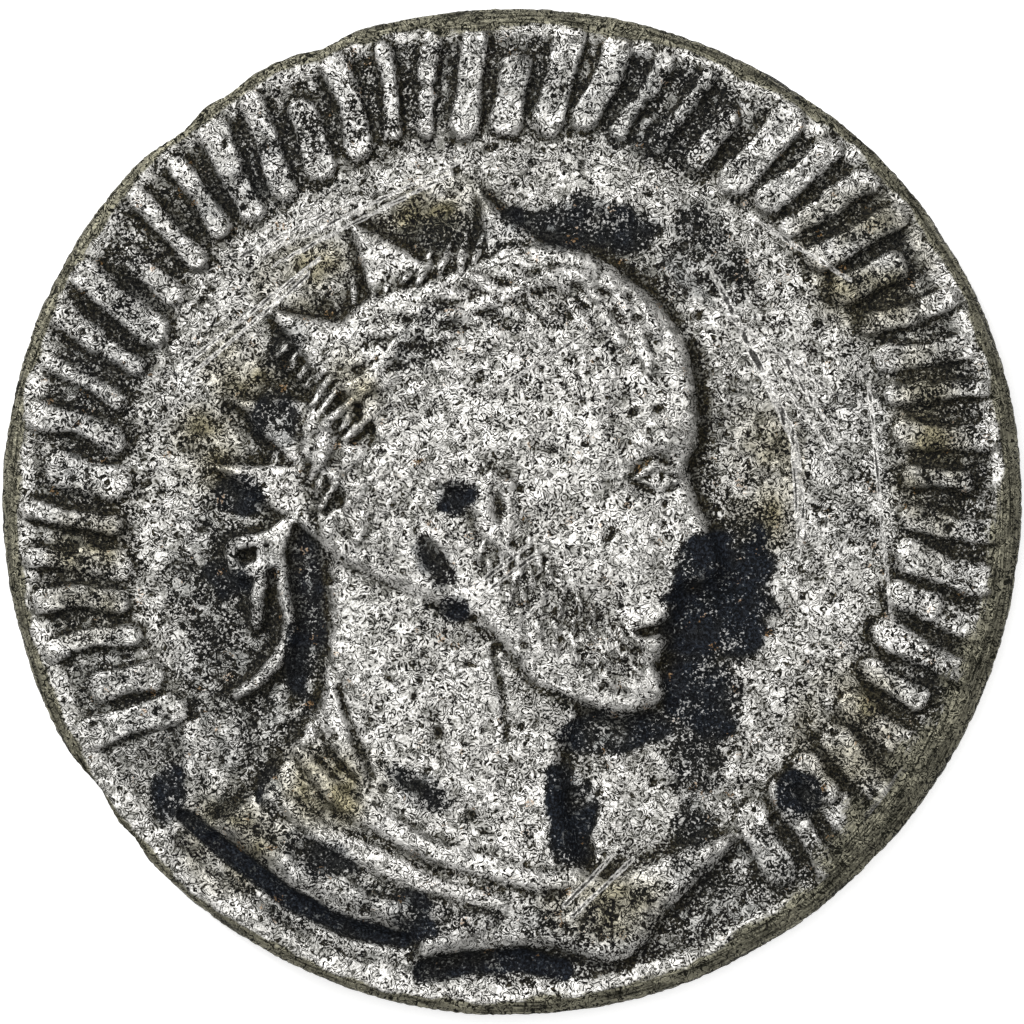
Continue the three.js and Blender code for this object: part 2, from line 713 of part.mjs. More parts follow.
const billon = new THREE.MeshStandardMaterial({ color: 0x9b9a94, roughness: 0.55, metalness: 0.9 });
const coin = new THREE.Mesh(makeCoinGeometry(), billon);
coin.name = 'coin';

const model = new THREE.Group();
model.add(coin);

export default model;
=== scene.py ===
import math

import bpy
import numpy as np
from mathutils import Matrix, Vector


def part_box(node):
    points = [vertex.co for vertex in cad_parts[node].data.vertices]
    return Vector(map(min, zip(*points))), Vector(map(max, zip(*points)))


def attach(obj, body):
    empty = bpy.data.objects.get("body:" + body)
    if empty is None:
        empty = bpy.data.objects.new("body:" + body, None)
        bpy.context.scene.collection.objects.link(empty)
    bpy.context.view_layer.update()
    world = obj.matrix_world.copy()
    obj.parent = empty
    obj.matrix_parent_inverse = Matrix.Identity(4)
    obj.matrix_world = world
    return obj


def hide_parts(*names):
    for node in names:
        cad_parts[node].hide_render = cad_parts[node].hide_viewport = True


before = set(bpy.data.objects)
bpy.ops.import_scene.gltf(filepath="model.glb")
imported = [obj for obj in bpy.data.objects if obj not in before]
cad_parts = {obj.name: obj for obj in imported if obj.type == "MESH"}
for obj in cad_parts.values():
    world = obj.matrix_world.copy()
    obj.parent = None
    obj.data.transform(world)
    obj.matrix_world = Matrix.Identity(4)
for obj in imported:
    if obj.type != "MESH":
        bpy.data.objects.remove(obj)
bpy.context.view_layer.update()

# Coin blank
# A disc of billon, copper with some silver, cut a little out of round and struck between two dies.
# Its edge bulges half way up and is rounded over on both faces, most of all at lower right.
MM = 0.001
coin_low, coin_high = (np.array(corner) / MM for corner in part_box("coin"))
COIN_RADIUS = float(coin_high[0] - coin_low[0] + coin_high[1] - coin_low[1]) / 4.0
COIN_TOP = float(coin_high[2])
DISC_THICKNESS = 0.95
UNDERSIDE_RELIEF = 0.25
OBVERSE_FIELD = UNDERSIDE_RELIEF + DISC_THICKNESS
EDGE_BULGE = 0.07
# A wave is its count round the edge, its share of the radius and its peak in degrees
OUTLINE_WAVES = ((1, 0.0034, 51.0), (2, 0.0061, 1.0), (3, 0.0057, 27.0))
EDGE_ROUND_WIDTH = 0.32
EDGE_ROUND_DROP = 0.3
WORN_SIDE_EXTRA_WIDTH = 0.45
WORN_SIDE_ANGLE = math.radians(-38.0)
OBVERSE_CELLS = 272
UNDERSIDE_CELLS = OBVERSE_CELLS // 2
CELL = 2.0 * COIN_RADIUS / OBVERSE_CELLS * math.sqrt(math.pi) / 2.0


def outline_radius(angle):
    waves = sum(
        share * np.cos(count * (angle - math.radians(peak))) for count, share, peak in OUTLINE_WAVES
    )
    return COIN_RADIUS * (1.0 + waves)


whole_turn = np.linspace(0.0, 2.0 * math.pi, 720)
outline_x = outline_radius(whole_turn) * np.cos(whole_turn)
outline_y = outline_radius(whole_turn) * np.sin(whole_turn)
CENTRE = (float(outline_x.max() + outline_x.min()) / 2.0, float(outline_y.max() + outline_y.min()) / 2.0)


def disc_places(cells, inset):
    """Rows of points that fill the outline with cells of even size, square rows bent into circles."""
    side = np.linspace(-1.0, 1.0, cells + 1)
    across, up = np.meshgrid(side, side)
    wide = np.abs(across) > np.abs(up)
    reach = np.where(wide, across, up)
    safe = np.where(reach == 0.0, 1.0, reach)
    angle = np.where(wide, math.pi / 4.0 * up / safe, math.pi / 2.0 - math.pi / 4.0 * across / safe)
    angle = angle + np.where(reach < 0.0, math.pi, 0.0)
    radius = np.abs(reach) * (outline_radius(angle) - inset)
    return radius * np.cos(angle) - CENTRE[0], radius * np.sin(angle) - CENTRE[1]


def from_edge(x, y):
    angle = np.arctan2(y + CENTRE[1], x + CENTRE[0])
    return outline_radius(angle) - np.hypot(x + CENTRE[0], y + CENTRE[1]), angle


def quarter_round(share):
    left = 1.0 - np.clip(share, 0.0, 1.0)
    return np.sqrt(1.0 - left * left)


def soft_step(share):
    share = np.clip(share, 0.0, 1.0)
    return share * share * (3.0 - 2.0 * share)


def edge_drop(inset, angle):
    facing = np.maximum(0.0, np.cos(angle - WORN_SIDE_ANGLE))
    width = EDGE_ROUND_WIDTH + WORN_SIDE_EXTRA_WIDTH * facing ** 3
    return EDGE_ROUND_DROP * (1.0 - quarter_round(inset / width))


# Portrait
# A crowned head that looks right, over a neck and a draped bust, struck as the highest relief. All its
# places are shares of the head's height: u forward from the middle of the head, v up from the chin.
# The face keeps the canon of three equal thirds from hairline to chin.
HEAD_HEIGHT = 10.4
HEAD_CENTRE_X = 0.29
CHIN_Y = -4.5
PORTRAIT_RELIEF = 0.55
BUST_RELIEF = 0.34
CROWN_RELIEF = 0.26
CARVING_RELIEF = 0.15
SIDE_WIDTH = 0.03
NAPE_WIDTH = 0.12
NAPE_FRONT = 0.05
NAPE_TOP = 0.4
NAPE_FADE = (0.3, 0.2)
RIDGE_SHOULDER = 0.45
CURVE_PIECES = 6
HEAD_STEP = 0.55
HEAD_DOME = 0.3
HEAD_DOME_WIDTH = 0.26
BUST_STEP = 0.6
BUST_DOME = 0.25
BUST_DOME_WIDTH = 0.2
FOLD_FADE = 0.45
FOLD_FADE_SIZE = 1.2


def smooth_curve(points, closed):
    points = np.array(points, dtype=float)
    if closed:
        points = np.vstack([points[-1:], points, points[:2]])
    else:
        points = np.vstack([2 * points[0] - points[1], points, 2 * points[-1] - points[-2]])
    curve = []
    for before, start, end, after in zip(points, points[1:], points[2:], points[3:]):
        for t in np.arange(CURVE_PIECES) / CURVE_PIECES:
            bend = 2 * before - 5 * start + 4 * end - after
            twist = 3 * start - before - 3 * end + after
            curve.append(start + 0.5 * ((end - before) * t + bend * t ** 2 + twist * t ** 3))
    return np.array(curve if closed else curve + [points[-2]])


def segment_distance(x, y, start, end):
    run = end - start
    along = np.clip(((x - start[0]) * run[0] + (y - start[1]) * run[1]) / (run @ run), 0.0, 1.0)
    return np.hypot(x - start[0] - along * run[0], y - start[1] - along * run[1]), along


def clouds(x, y, size, seed):
    """Smooth random swells of one size in millimetres, from -1 to 1."""
    count = int(2.4 * COIN_RADIUS / size) + 3
    swells = np.random.default_rng(seed).uniform(-1.0, 1.0, (count, count))
    across = (x + 1.15 * COIN_RADIUS) / size
    up = (y + 1.15 * COIN_RADIUS) / size
    column = np.floor(across).astype(int)
    row = np.floor(up).astype(int)
    right = soft_step(across - column)
    above = soft_step(up - row)
    low = swells[row, column] * (1.0 - right) + swells[row, column + 1] * right
    high = swells[row + 1, column] * (1.0 - right) + swells[row + 1, column + 1] * right
    return low * (1.0 - above) + high * above


def depth_inside(loop, x, y):
    """How deep each point lies inside a closed loop, negative outside."""
    nearest = np.full(x.shape, np.inf)
    inside = np.zeros(x.shape, dtype=bool)
    for start, end in zip(np.roll(loop, 1, axis=0), loop):
        nearest = np.minimum(nearest, segment_distance(x, y, start, end)[0])
        if start[1] != end[1]:
            crossing = start[0] + (end[0] - start[0]) * (y - start[1]) / (end[1] - start[1])
            inside ^= ((end[1] > y) != (start[1] > y)) & (x < crossing)
    return np.where(inside, nearest, -nearest)


def ridge(line, width, x, y, end_width=0.6, shoulder=RIDGE_SHOULDER):
    """Height, from 0 to 1, of a worn ridge along a line of points."""
    line = np.array(line, dtype=float)
    height = np.zeros(x.shape)
    pieces = len(line) - 1
    for i, (start, end) in enumerate(zip(line, line[1:])):
        reach = width * max(1.0, end_width)
        low = np.minimum(start, end) - reach
        high = np.maximum(start, end) + reach
        near = (x > low[0]) & (x < high[0]) & (y > low[1]) & (y < high[1])
        distance, along = segment_distance(x[near], y[near], start, end)
        from_middle = np.abs((i + along) / pieces * 2.0 - 1.0)
        share = distance / (width * (1.0 + (end_width - 1.0) * from_middle))
        height[near] = np.maximum(height[near], soft_step((1.0 - share) / (1.0 - shoulder)))
    return height


def mound(at, size, turned, x, y):
    """Height, from 0 to 1, of a soft oval mound."""
    cos, sin = math.cos(math.radians(turned)), math.sin(math.radians(turned))
    along = ((x - at[0]) * cos + (y - at[1]) * sin) / size[0]
    across = ((y - at[1]) * cos - (x - at[0]) * sin) / size[1]
    return np.maximum(0.0, 1.0 - along ** 2 - across ** 2) ** 2


def polar(centre, degrees, reach):
    angle = math.radians(degrees)
    return centre[0] + reach * math.cos(angle), centre[1] + reach * math.sin(angle)


HEAD_LOOP = smooth_curve((
    (0.17, 0.0), (0.26, 0.012), (0.3, 0.06), (0.287, 0.118), (0.315, 0.16), (0.302, 0.19), (0.325, 0.222),
    (0.33, 0.268), (0.385, 0.28), (0.423, 0.315), (0.385, 0.42), (0.345, 0.508), (0.368, 0.575),
    (0.362, 0.69), (0.325, 0.82), (0.2, 0.95), (0.0, 1.0), (-0.22, 0.96), (-0.4, 0.82), (-0.475, 0.62),
    (-0.46, 0.45), (-0.4, 0.3), (-0.26, 0.2), (-0.1, 0.13), (0.03, 0.05),
), closed=True)
BUST_LOOP = smooth_curve((
    (-0.36, 0.4), (-0.42, 0.17), (-0.45, 0.02), (-0.57, -0.14), (-0.685, -0.235), (-0.61, -0.267),
    (-0.475, -0.371), (-0.373, -0.423), (-0.25, -0.448), (-0.238, -0.505), (-0.138, -0.489),
    (0.066, -0.486), (0.215, -0.51), (0.312, -0.394), (0.457, -0.25), (0.363, -0.238), (0.238, -0.29),
    (0.15, -0.31), (0.104, -0.207), (0.086, -0.083), (0.1, 0.1),
), closed=True)
# A form is its place, half sizes, turn in degrees and rise. A line is its points, half width and rise.
FACIAL_FORMS = {
    "cheekbone": ((0.17, 0.37), (0.15, 0.11), 20, 0.6),
    "temple": ((0.2, 0.64), (0.07, 0.1), 0, -0.45),
    "brow": ((0.3, 0.575), (0.1, 0.035), -8, 1.0),
    "eye socket": ((0.27, 0.505), (0.085, 0.06), 0, -1.2),
    "eyeball": ((0.275, 0.503), (0.048, 0.032), 0, 1.2),
    "nostril wing": ((0.352, 0.305), (0.038, 0.033), 0, 1.0),
    "upper lip": ((0.29, 0.215), (0.05, 0.02), 10, 0.7),
    "lower lip": ((0.285, 0.165), (0.045, 0.022), -10, 0.7),
    "chin": ((0.255, 0.07), (0.06, 0.05), 0, 0.5),
    "cheek hollow": ((0.13, 0.22), (0.1, 0.08), 0, -0.4),
    "jaw": ((-0.02, 0.2), (0.14, 0.07), -35, 0.4),
    "ear": ((-0.06, 0.43), (0.055, 0.095), 8, 1.1),
    "ear hollow": ((-0.055, 0.44), (0.025, 0.05), 8, -1.3),
}
FACIAL_LINES = {
    "upper lid": (((0.228, 0.5), (0.27, 0.53), (0.318, 0.51)), 0.013, 0.9),
    "lower lid": (((0.235, 0.495), (0.275, 0.478), (0.315, 0.495)), 0.01, 0.6),
    "mouth": (((0.238, 0.188), (0.31, 0.19)), 0.014, -1.1),
    "nose ridge": (((0.345, 0.51), (0.405, 0.33)), 0.028, 0.35),
    "nostril": (((0.372, 0.29), (0.395, 0.3)), 0.012, -0.6),
    "ear rim": (((-0.03, 0.35), (-0.09, 0.39), (-0.105, 0.46), (-0.07, 0.51), (-0.03, 0.49)), 0.018, 0.6),
}
THROAT = ((0.0, 0.03), (0.2, 0.12), -25, -0.7)
NECK_LINES = {
    "long neck muscle": (((-0.2, 0.15), (-0.04, -0.24)), 0.06, 0.5),
    "collar": (((-0.48, -0.05), (-0.38, -0.17), (-0.2, -0.27), (0.01, -0.33), (0.16, -0.33)), 0.032, 0.9),
    "cloak fold behind": (((-0.43, 0.1), (-0.35, -0.12)), 0.028, 0.7),
    "cloak fold on shoulder": (((-0.55, -0.135), (-0.4, -0.25), (-0.2, -0.34), (-0.05, -0.38)), 0.03, 0.7),
    "cloak hem": (((-0.62, -0.21), (-0.47, -0.31), (-0.3, -0.385), (-0.18, -0.405)), 0.028, 0.7),
    "cloak end": (((-0.25, -0.49), (-0.165, -0.446), (-0.085, -0.415)), 0.038, 0.9),
    "chest fold": (((0.16, -0.33), (0.24, -0.39), (0.26, -0.49)), 0.028, 0.7),
    "shoulder fold": (((0.38, -0.26), (0.34, -0.37), (0.28, -0.45)), 0.028, 0.7),
    "breast fold": (((0.03, -0.35), (0.07, -0.46)), 0.028, 0.6),
}

# Crown: five spikes behind and above the skull on a thin band, and the tied ribbon ends at the nape.
# A spike is the place and tip angle in degrees and the tip's reach from the middle of the skull.
SKULL_CENTRE = (0.0, 0.5)
SPIKE_BASE_REACH = 0.43
SPIKE_BASE_HALF_ANGLE = 14.0
SPIKE_SIDE_WIDTH = 0.016
SPIKES = ((88, 100, 0.63), (121, 124, 0.675), (145, 147, 0.66), (171, 164, 0.65), (188, 177, 0.67))
SPIKE_LOOPS = [np.array((
    polar(SKULL_CENTRE, base - SPIKE_BASE_HALF_ANGLE, SPIKE_BASE_REACH),
    polar(SKULL_CENTRE, tip, reach),
    polar(SKULL_CENTRE, base + SPIKE_BASE_HALF_ANGLE, SPIKE_BASE_REACH),
)) for base, tip, reach in SPIKES]
RIBBON_WIDTH = 0.022
RIBBONS = [smooth_curve(points, closed=False) for points in (
    ((-0.46, 0.44), (-0.52, 0.38), (-0.6, 0.36), (-0.585, 0.31), (-0.52, 0.335), (-0.49, 0.39)),
    ((-0.52, 0.37), (-0.5, 0.29), (-0.495, 0.17), (-0.545, 0.1), (-0.6, 0.06)),
    ((-0.54, 0.35), (-0.55, 0.28), (-0.56, 0.2)),
)]
BAND = ((-0.46, 0.42), (-0.4, 0.62), (-0.22, 0.82), (0.06, 0.92), (0.25, 0.9))
BAND_WIDTH = 0.02
BAND_RISE = 0.6

# Short cropped locks in rows that follow the skull from the forehead round to the nape
LOCK_RISES = (0.1, 0.12, 0.16, 0.25, 0.4, 0.5)
LOCK_ROWS_FROM = 0.1
LOCK_ROW_SPACING = 0.06
LOCK_LENGTH = 0.068
LOCK_WIDTH = 0.019
LOCK_LEAN = 62.0
LOCK_SPACING = 0.07
HAIR_FROM = 42.0
HAIR_TO = 205.0


def lock_lines():
    lines = []
    for row in range(len(LOCK_RISES)):
        reach = LOCK_ROWS_FROM + row * LOCK_ROW_SPACING
        count = int(math.radians(HAIR_TO - HAIR_FROM) * reach / LOCK_SPACING)
        for i in range(count):
            angle = HAIR_FROM + (HAIR_TO - HAIR_FROM) * (i + 0.5 * (row % 2)) / count
            root = polar(SKULL_CENTRE, angle, reach)
            lines.append(((root, polar(root, angle + LOCK_LEAN, LOCK_LENGTH)), LOCK_RISES[row]))
    return lines


LOCKS = lock_lines()

# A beard clipped short, punched as rows of small strokes along the jaw
JAW_LINE = smooth_curve((
    (-0.1, 0.36), (-0.05, 0.26), (0.05, 0.16), (0.16, 0.085), (0.25, 0.06),
), closed=False)
BEARD_ROWS = 4
BEARD_ROW_SPACING = 0.034
BEARD_LENGTH = 0.03
BEARD_WIDTH = 0.0085
BEARD_RISE = 0.62
BEARD_TURN = 35.0
BEARD_INSET = 0.3
BEARD_STRAY = 0.2
BEARD_STRAY_TURN = 12.0


def beard_lines():
    random = np.random.default_rng(9)
    lines = []
    for row in range(BEARD_ROWS):
        for start, end in zip(JAW_LINE[row % 2::2], JAW_LINE[row % 2 + 2::2]):
            along = math.degrees(math.atan2(end[1] - start[1], end[0] - start[0]))
            reach = row + BEARD_INSET + random.uniform(-BEARD_STRAY, BEARD_STRAY)
            root = polar(start, along + 90.0, reach * BEARD_ROW_SPACING)
            turned = along - BEARD_TURN + random.uniform(-BEARD_STRAY_TURN, BEARD_STRAY_TURN)
            lines.append((root, polar(root, turned, BEARD_LENGTH)))
    return lines


BEARD = beard_lines()

# Deep combed strokes of hair in rows that fill the gaps between the spikes. A row is its two ends as
# angle and reach, the number of strokes and their lean.
COMBED_ROWS = (
    ((134.0, 0.53), (99.0, 0.495), 8, 75.0),
    ((151.0, 0.58), (165.0, 0.35), 9, 55.0),
    ((174.0, 0.53), (187.0, 0.41), 6, 68.0),
)
COMBED_LENGTH = 0.062
COMBED_HALF_SHARES = (0.32, 0.62)
COMBED_STRAY = 0.2
COMBED_STRAY_TURN = 14.0
COMBED_WIDTH = 0.013
COMBED_HOLLOW_WIDTH = 0.0465
COMBED_RISE = 1.1
COMBED_SINK = 0.9
COMBED_OUTSIDE = 0.6


def combed_lines():
    random = np.random.default_rng(8)
    lines = []
    for start, end, count, lean in COMBED_ROWS:
        start, end = np.array(polar(SKULL_CENTRE, *start)), np.array(polar(SKULL_CENTRE, *end))
        for i in range(count):
            place = i + 0.5 + random.uniform(-COMBED_STRAY, COMBED_STRAY)
            middle = start + (end - start) * place / count
            turned = lean + random.uniform(-COMBED_STRAY_TURN, COMBED_STRAY_TURN)
            half = COMBED_LENGTH * random.uniform(*COMBED_HALF_SHARES)
            lines.append((polar(middle, turned, half), polar(middle, turned + 180.0, half)))
    return lines


COMBED = combed_lines()


def combed_hollows(u, v):
    """The sunk gaps that the combed strokes stand in."""
    rows = ((polar(SKULL_CENTRE, *start), polar(SKULL_CENTRE, *end)) for start, end, _, _ in COMBED_ROWS)
    return highest((ridge(row, COMBED_HOLLOW_WIDTH, u, v, end_width=0.8) for row in rows), u)


def highest(heights, like):
    result = np.zeros(like.shape)
    for height in heights:
        result = np.maximum(result, height)
    return result


def portrait(x, y):
    u = (x - HEAD_CENTRE_X) / HEAD_HEIGHT
    v = (y - CHIN_Y) / HEAD_HEIGHT
    head_depth = depth_inside(HEAD_LOOP, u, v)
    bust_depth = depth_inside(BUST_LOOP, u, v)
    at_nape = soft_step((NAPE_FRONT - u) / NAPE_FADE[0]) * soft_step((NAPE_TOP - v) / NAPE_FADE[1])
    on_head = soft_step(head_depth / (SIDE_WIDTH + NAPE_WIDTH * at_nape))
    on_bust = soft_step(bust_depth / SIDE_WIDTH)
    carving = sum(rise * mound(at, size, turned, u, v) for at, size, turned, rise in FACIAL_FORMS.values())
    carving += sum(rise * ridge(line, width, u, v) for line, width, rise in FACIAL_LINES.values())
    carving += highest((rise * ridge(line, LOCK_WIDTH, u, v) for line, rise in LOCKS), u)
    carving += BAND_RISE * ridge(BAND, BAND_WIDTH, u, v, end_width=1.0)
    carving += BEARD_RISE * highest((ridge(line, BEARD_WIDTH, u, v) for line in BEARD), u)
    carving -= COMBED_SINK * combed_hollows(u, v)
    combed = highest((ridge(line, COMBED_WIDTH, u, v) for line in COMBED), u)
    carving += COMBED_RISE * combed
    head_dome = quarter_round(head_depth / HEAD_DOME_WIDTH)
    head = PORTRAIT_RELIEF * (HEAD_STEP * on_head + HEAD_DOME * head_dome)
    head += CARVING_RELIEF * on_head * carving
    folds = THROAT[3] * mound(*THROAT[:3], u, v)
    folds += sum(rise * ridge(line, width, u, v) for line, width, rise in NECK_LINES.values())
    folds = folds * (1.0 - FOLD_FADE + FOLD_FADE * clouds(x, y, FOLD_FADE_SIZE, 47))
    bust_dome = quarter_round(bust_depth / BUST_DOME_WIDTH)
    bust = BUST_RELIEF * (BUST_STEP * on_bust + BUST_DOME * bust_dome)
    bust += CARVING_RELIEF * on_bust * folds
    spikes = highest((soft_step(depth_inside(loop, u, v) / SPIKE_SIDE_WIDTH) for loop in SPIKE_LOOPS), u)
    ribbons = highest((ridge(line, RIBBON_WIDTH, u, v, end_width=0.8) for line in RIBBONS), u)
    crown = CROWN_RELIEF * highest((spikes, ribbons, COMBED_OUTSIDE * combed), u)
    return np.maximum(np.maximum(head, bust), crown)


# Inscription band
# A ring of shallow worn strokes struck round the portrait: leaning bars, stacked short bars and shallow
# bows, in an order that spells nothing.
LEGEND_RELIEF = 0.19
STROKE_LENGTH = 1.8
STROKE_WIDTH = 0.5
STROKE_END_WIDTH = 1.2
STROKE_SHOULDER = 0.72
STROKE_WIDTHS = (0.75, 1.6)
STROKE_RISES = (0.5, 1.0)
LEGEND_MARGIN = 0.66
LEGEND_START = 212.0
LEGEND_END = -56.0
LEGEND_STROKES = 47
# A shape is its lean in degrees, its bow and the parts of its length that stand up
STROKE_SHAPES = (
    (11, 0.0, ((0.0, 1.0),)),
    (7, 0.05, ((0.05, 1.0),)),
    (12, 0.0, ((0.0, 0.36), (0.58, 1.0))),
    (9, -0.06, ((0.0, 0.97),)),
    (10, 0.0, ((0.02, 0.62),)),
    (12, 0.06, ((0.08, 0.96),)),
    (8, 0.0, ((0.3, 1.0),)),
)
STROKE_SHAPE_STEP = 4
STROKE_SHAPE_RUN = 5


def legend_lines(start, end, count, margin):
    lines = []
    for i in range(count):
        shape = i * STROKE_SHAPE_STEP + i // STROKE_SHAPE_RUN
        lean, bow, parts = STROKE_SHAPES[shape % len(STROKE_SHAPES)]
        angle = start + (end - start) * (i + 0.5) / count
        outer = float(outline_radius(math.radians(angle))) - margin

        def place(share):
            radius = outer - STROKE_LENGTH * (1.0 - share)
            slant = math.tan(math.radians(lean)) * (share - 0.5)
            sideways = STROKE_LENGTH * (slant + bow * (1.0 - (2.0 * share - 1.0) ** 2))
            return polar((-CENTRE[0], -CENTRE[1]), angle - math.degrees(sideways / radius), radius)

        lines += [(place(low), place((low + high) / 2.0), place(high)) for low, high in parts]
    return lines


def strokes(lines, x, y):
    random = np.random.default_rng(17)
    heights = np.zeros(x.shape)
    for line in lines:
        half = STROKE_WIDTH / 2.0 * random.uniform(*STROKE_WIDTHS)
        rise = random.uniform(*STROKE_RISES)
        heights = np.maximum(heights, rise * ridge(line, half, x, y, STROKE_END_WIDTH, STROKE_SHOULDER))
    return heights


RIM_RELIEF = 0.07
RIM_WIDTH = 0.75
LEGEND = legend_lines(LEGEND_START, LEGEND_END, LEGEND_STROKES, LEGEND_MARGIN)


def obverse_height(x, y):
    inset, angle = from_edge(x, y)
    rim = RIM_RELIEF * quarter_round((RIM_WIDTH - inset) / RIM_WIDTH)
    relief = np.maximum(np.maximum(portrait(x, y), LEGEND_RELIEF * strokes(LEGEND, x, y)), rim)
    return OBVERSE_FIELD + relief - edge_drop(inset, angle)


# Underside
# A plainer worn figure in a long robe, with a tall staff and a branch, in a broad flat rim. Its high
# points are worn to one plane, on which the coin lies. Places are shares of the figure's height.
UNDERSIDE_WEAR = 0.1
FIGURE_HEIGHT = 13.2
UNDERSIDE_RIM_WIDTH = 1.0
UNDERSIDE_LEGEND_MARGIN = 0.3
UNDERSIDE_LEGEND_START = 215.0
UNDERSIDE_LEGEND_END = -35.0
UNDERSIDE_LEGEND_STROKES = 23
UNDERSIDE_LEGEND_SHARE = 0.6
ROBE_SIDE_WIDTH = 0.05
ROBE_FOLD_DEPTH = 0.5
ROBE_LOOP = smooth_curve((
    (-0.16, 0.02), (-0.15, 0.2), (-0.11, 0.4), (-0.13, 0.6), (-0.13, 0.74), (-0.05, 0.82), (0.05, 0.82),
    (0.13, 0.74), (0.12, 0.6), (0.11, 0.4), (0.17, 0.2), (0.18, 0.02),
), closed=True)
FIGURE_LINES = {
    "staff": (((0.27, 0.0), (0.25, 0.93)), 0.018, 1.0, 0.8),
    "staff arm": (((0.1, 0.74), (0.19, 0.6), (0.255, 0.7)), 0.035, 0.6, 0.9),
    "head": (((0.0, 0.86), (-0.005, 0.93)), 0.062, 1.0, 1.0),
    "branch arm": (((-0.1, 0.74), (-0.19, 0.6), (-0.27, 0.56)), 0.035, 0.6, 0.9),
    "branch": (((-0.27, 0.5), (-0.28, 0.62), (-0.25, 0.76)), 0.022, 0.6, 0.7),
    "ground": (((-0.33, -0.02), (0.36, -0.02)), 0.016, 1.0, 0.8),
}
FOLD_LINES = (
    (((-0.075, 0.08), (-0.05, 0.4)), 0.016),
    (((0.0, 0.07), (0.005, 0.36)), 0.016),
    (((0.085, 0.08), (0.055, 0.42)), 0.016),
    (((-0.07, 0.7), (0.06, 0.58)), 0.018),
)
UNDERSIDE_LEGEND = legend_lines(
    UNDERSIDE_LEGEND_START, UNDERSIDE_LEGEND_END, UNDERSIDE_LEGEND_STROKES,
    UNDERSIDE_RIM_WIDTH + UNDERSIDE_LEGEND_MARGIN,
)


def underside_height(x, y):
    inset, angle = from_edge(x, y)
    u = x / FIGURE_HEIGHT
    v = 0.5 - y / FIGURE_HEIGHT
    fold = highest((ridge(line, width, u, v) for line, width in FOLD_LINES), u)
    robe = soft_step(depth_inside(ROBE_LOOP, u, v) / ROBE_SIDE_WIDTH) * (1.0 - ROBE_FOLD_DEPTH * fold)
    lines = highest((
        rise * ridge(line, width, u, v, end) for line, width, end, rise in FIGURE_LINES.values()
    ), u)
    rim = np.clip(2.0 * (UNDERSIDE_RIM_WIDTH - inset) / UNDERSIDE_RIM_WIDTH, 0.0, 1.0)
    legend = UNDERSIDE_LEGEND_SHARE * strokes(UNDERSIDE_LEGEND, x, -y)
    proud = np.maximum(np.maximum(robe, lines), np.maximum(rim, legend))
    drop = edge_drop(inset, angle)
    return np.maximum(0.0, UNDERSIDE_RELIEF - (UNDERSIDE_RELIEF + UNDERSIDE_WEAR) * proud) + drop


# Wear and damage
# What use and the ground did to the struck disc: the edges of the relief wander, pits are eaten into the
# high points, scratches cross the field, and the edge has small nicks. Places are millimetres from the
# middle of the coin.
# A swell is its size, and how far it shifts or lifts the surface
WANDERS = ((1.1, 0.07), (0.4, 0.022))
LUMPS = ((1.6, 0.03), (0.55, 0.018), (0.26, 0.012))
# A pit is its place, half length, half width, turn in degrees and depth
PITS = (
    (-1.2, 0.33, 0.36, 0.3, 20.0, 0.16), (-1.65, -1.1, 0.65, 0.3, -55.0, 0.14),
    (-1.25, -2.1, 0.26, 0.2, 0.0, 0.1), (-1.9, 3.8, 0.75, 0.5, 40.0, 0.07),
    (6.2, -6.1, 0.3, 0.25, 0.0, 0.1), (-4.2, -7.4, 0.7, 0.28, -30.0, 0.07),
    (-2.0, -6.0, 0.6, 0.25, -35.0, 0.09), (-5.2, -5.9, 0.22, 0.4, 10.0, 0.09),
    (-2.05, -8.75, 0.42, 0.36, 30.0, 0.1),
)
SMALL_PITS = 420
SMALL_PIT_SIZES = (0.06, 0.19)
SMALL_PIT_SCALES = (0.6, 1.0)
SMALL_PIT_WIDTHS = (0.45, 1.0)
SMALL_PIT_DEPTH = 0.06
SMALL_PIT_DEPTHS = (0.3, 1.0)
SMALL_PIT_SPREAD = 0.85
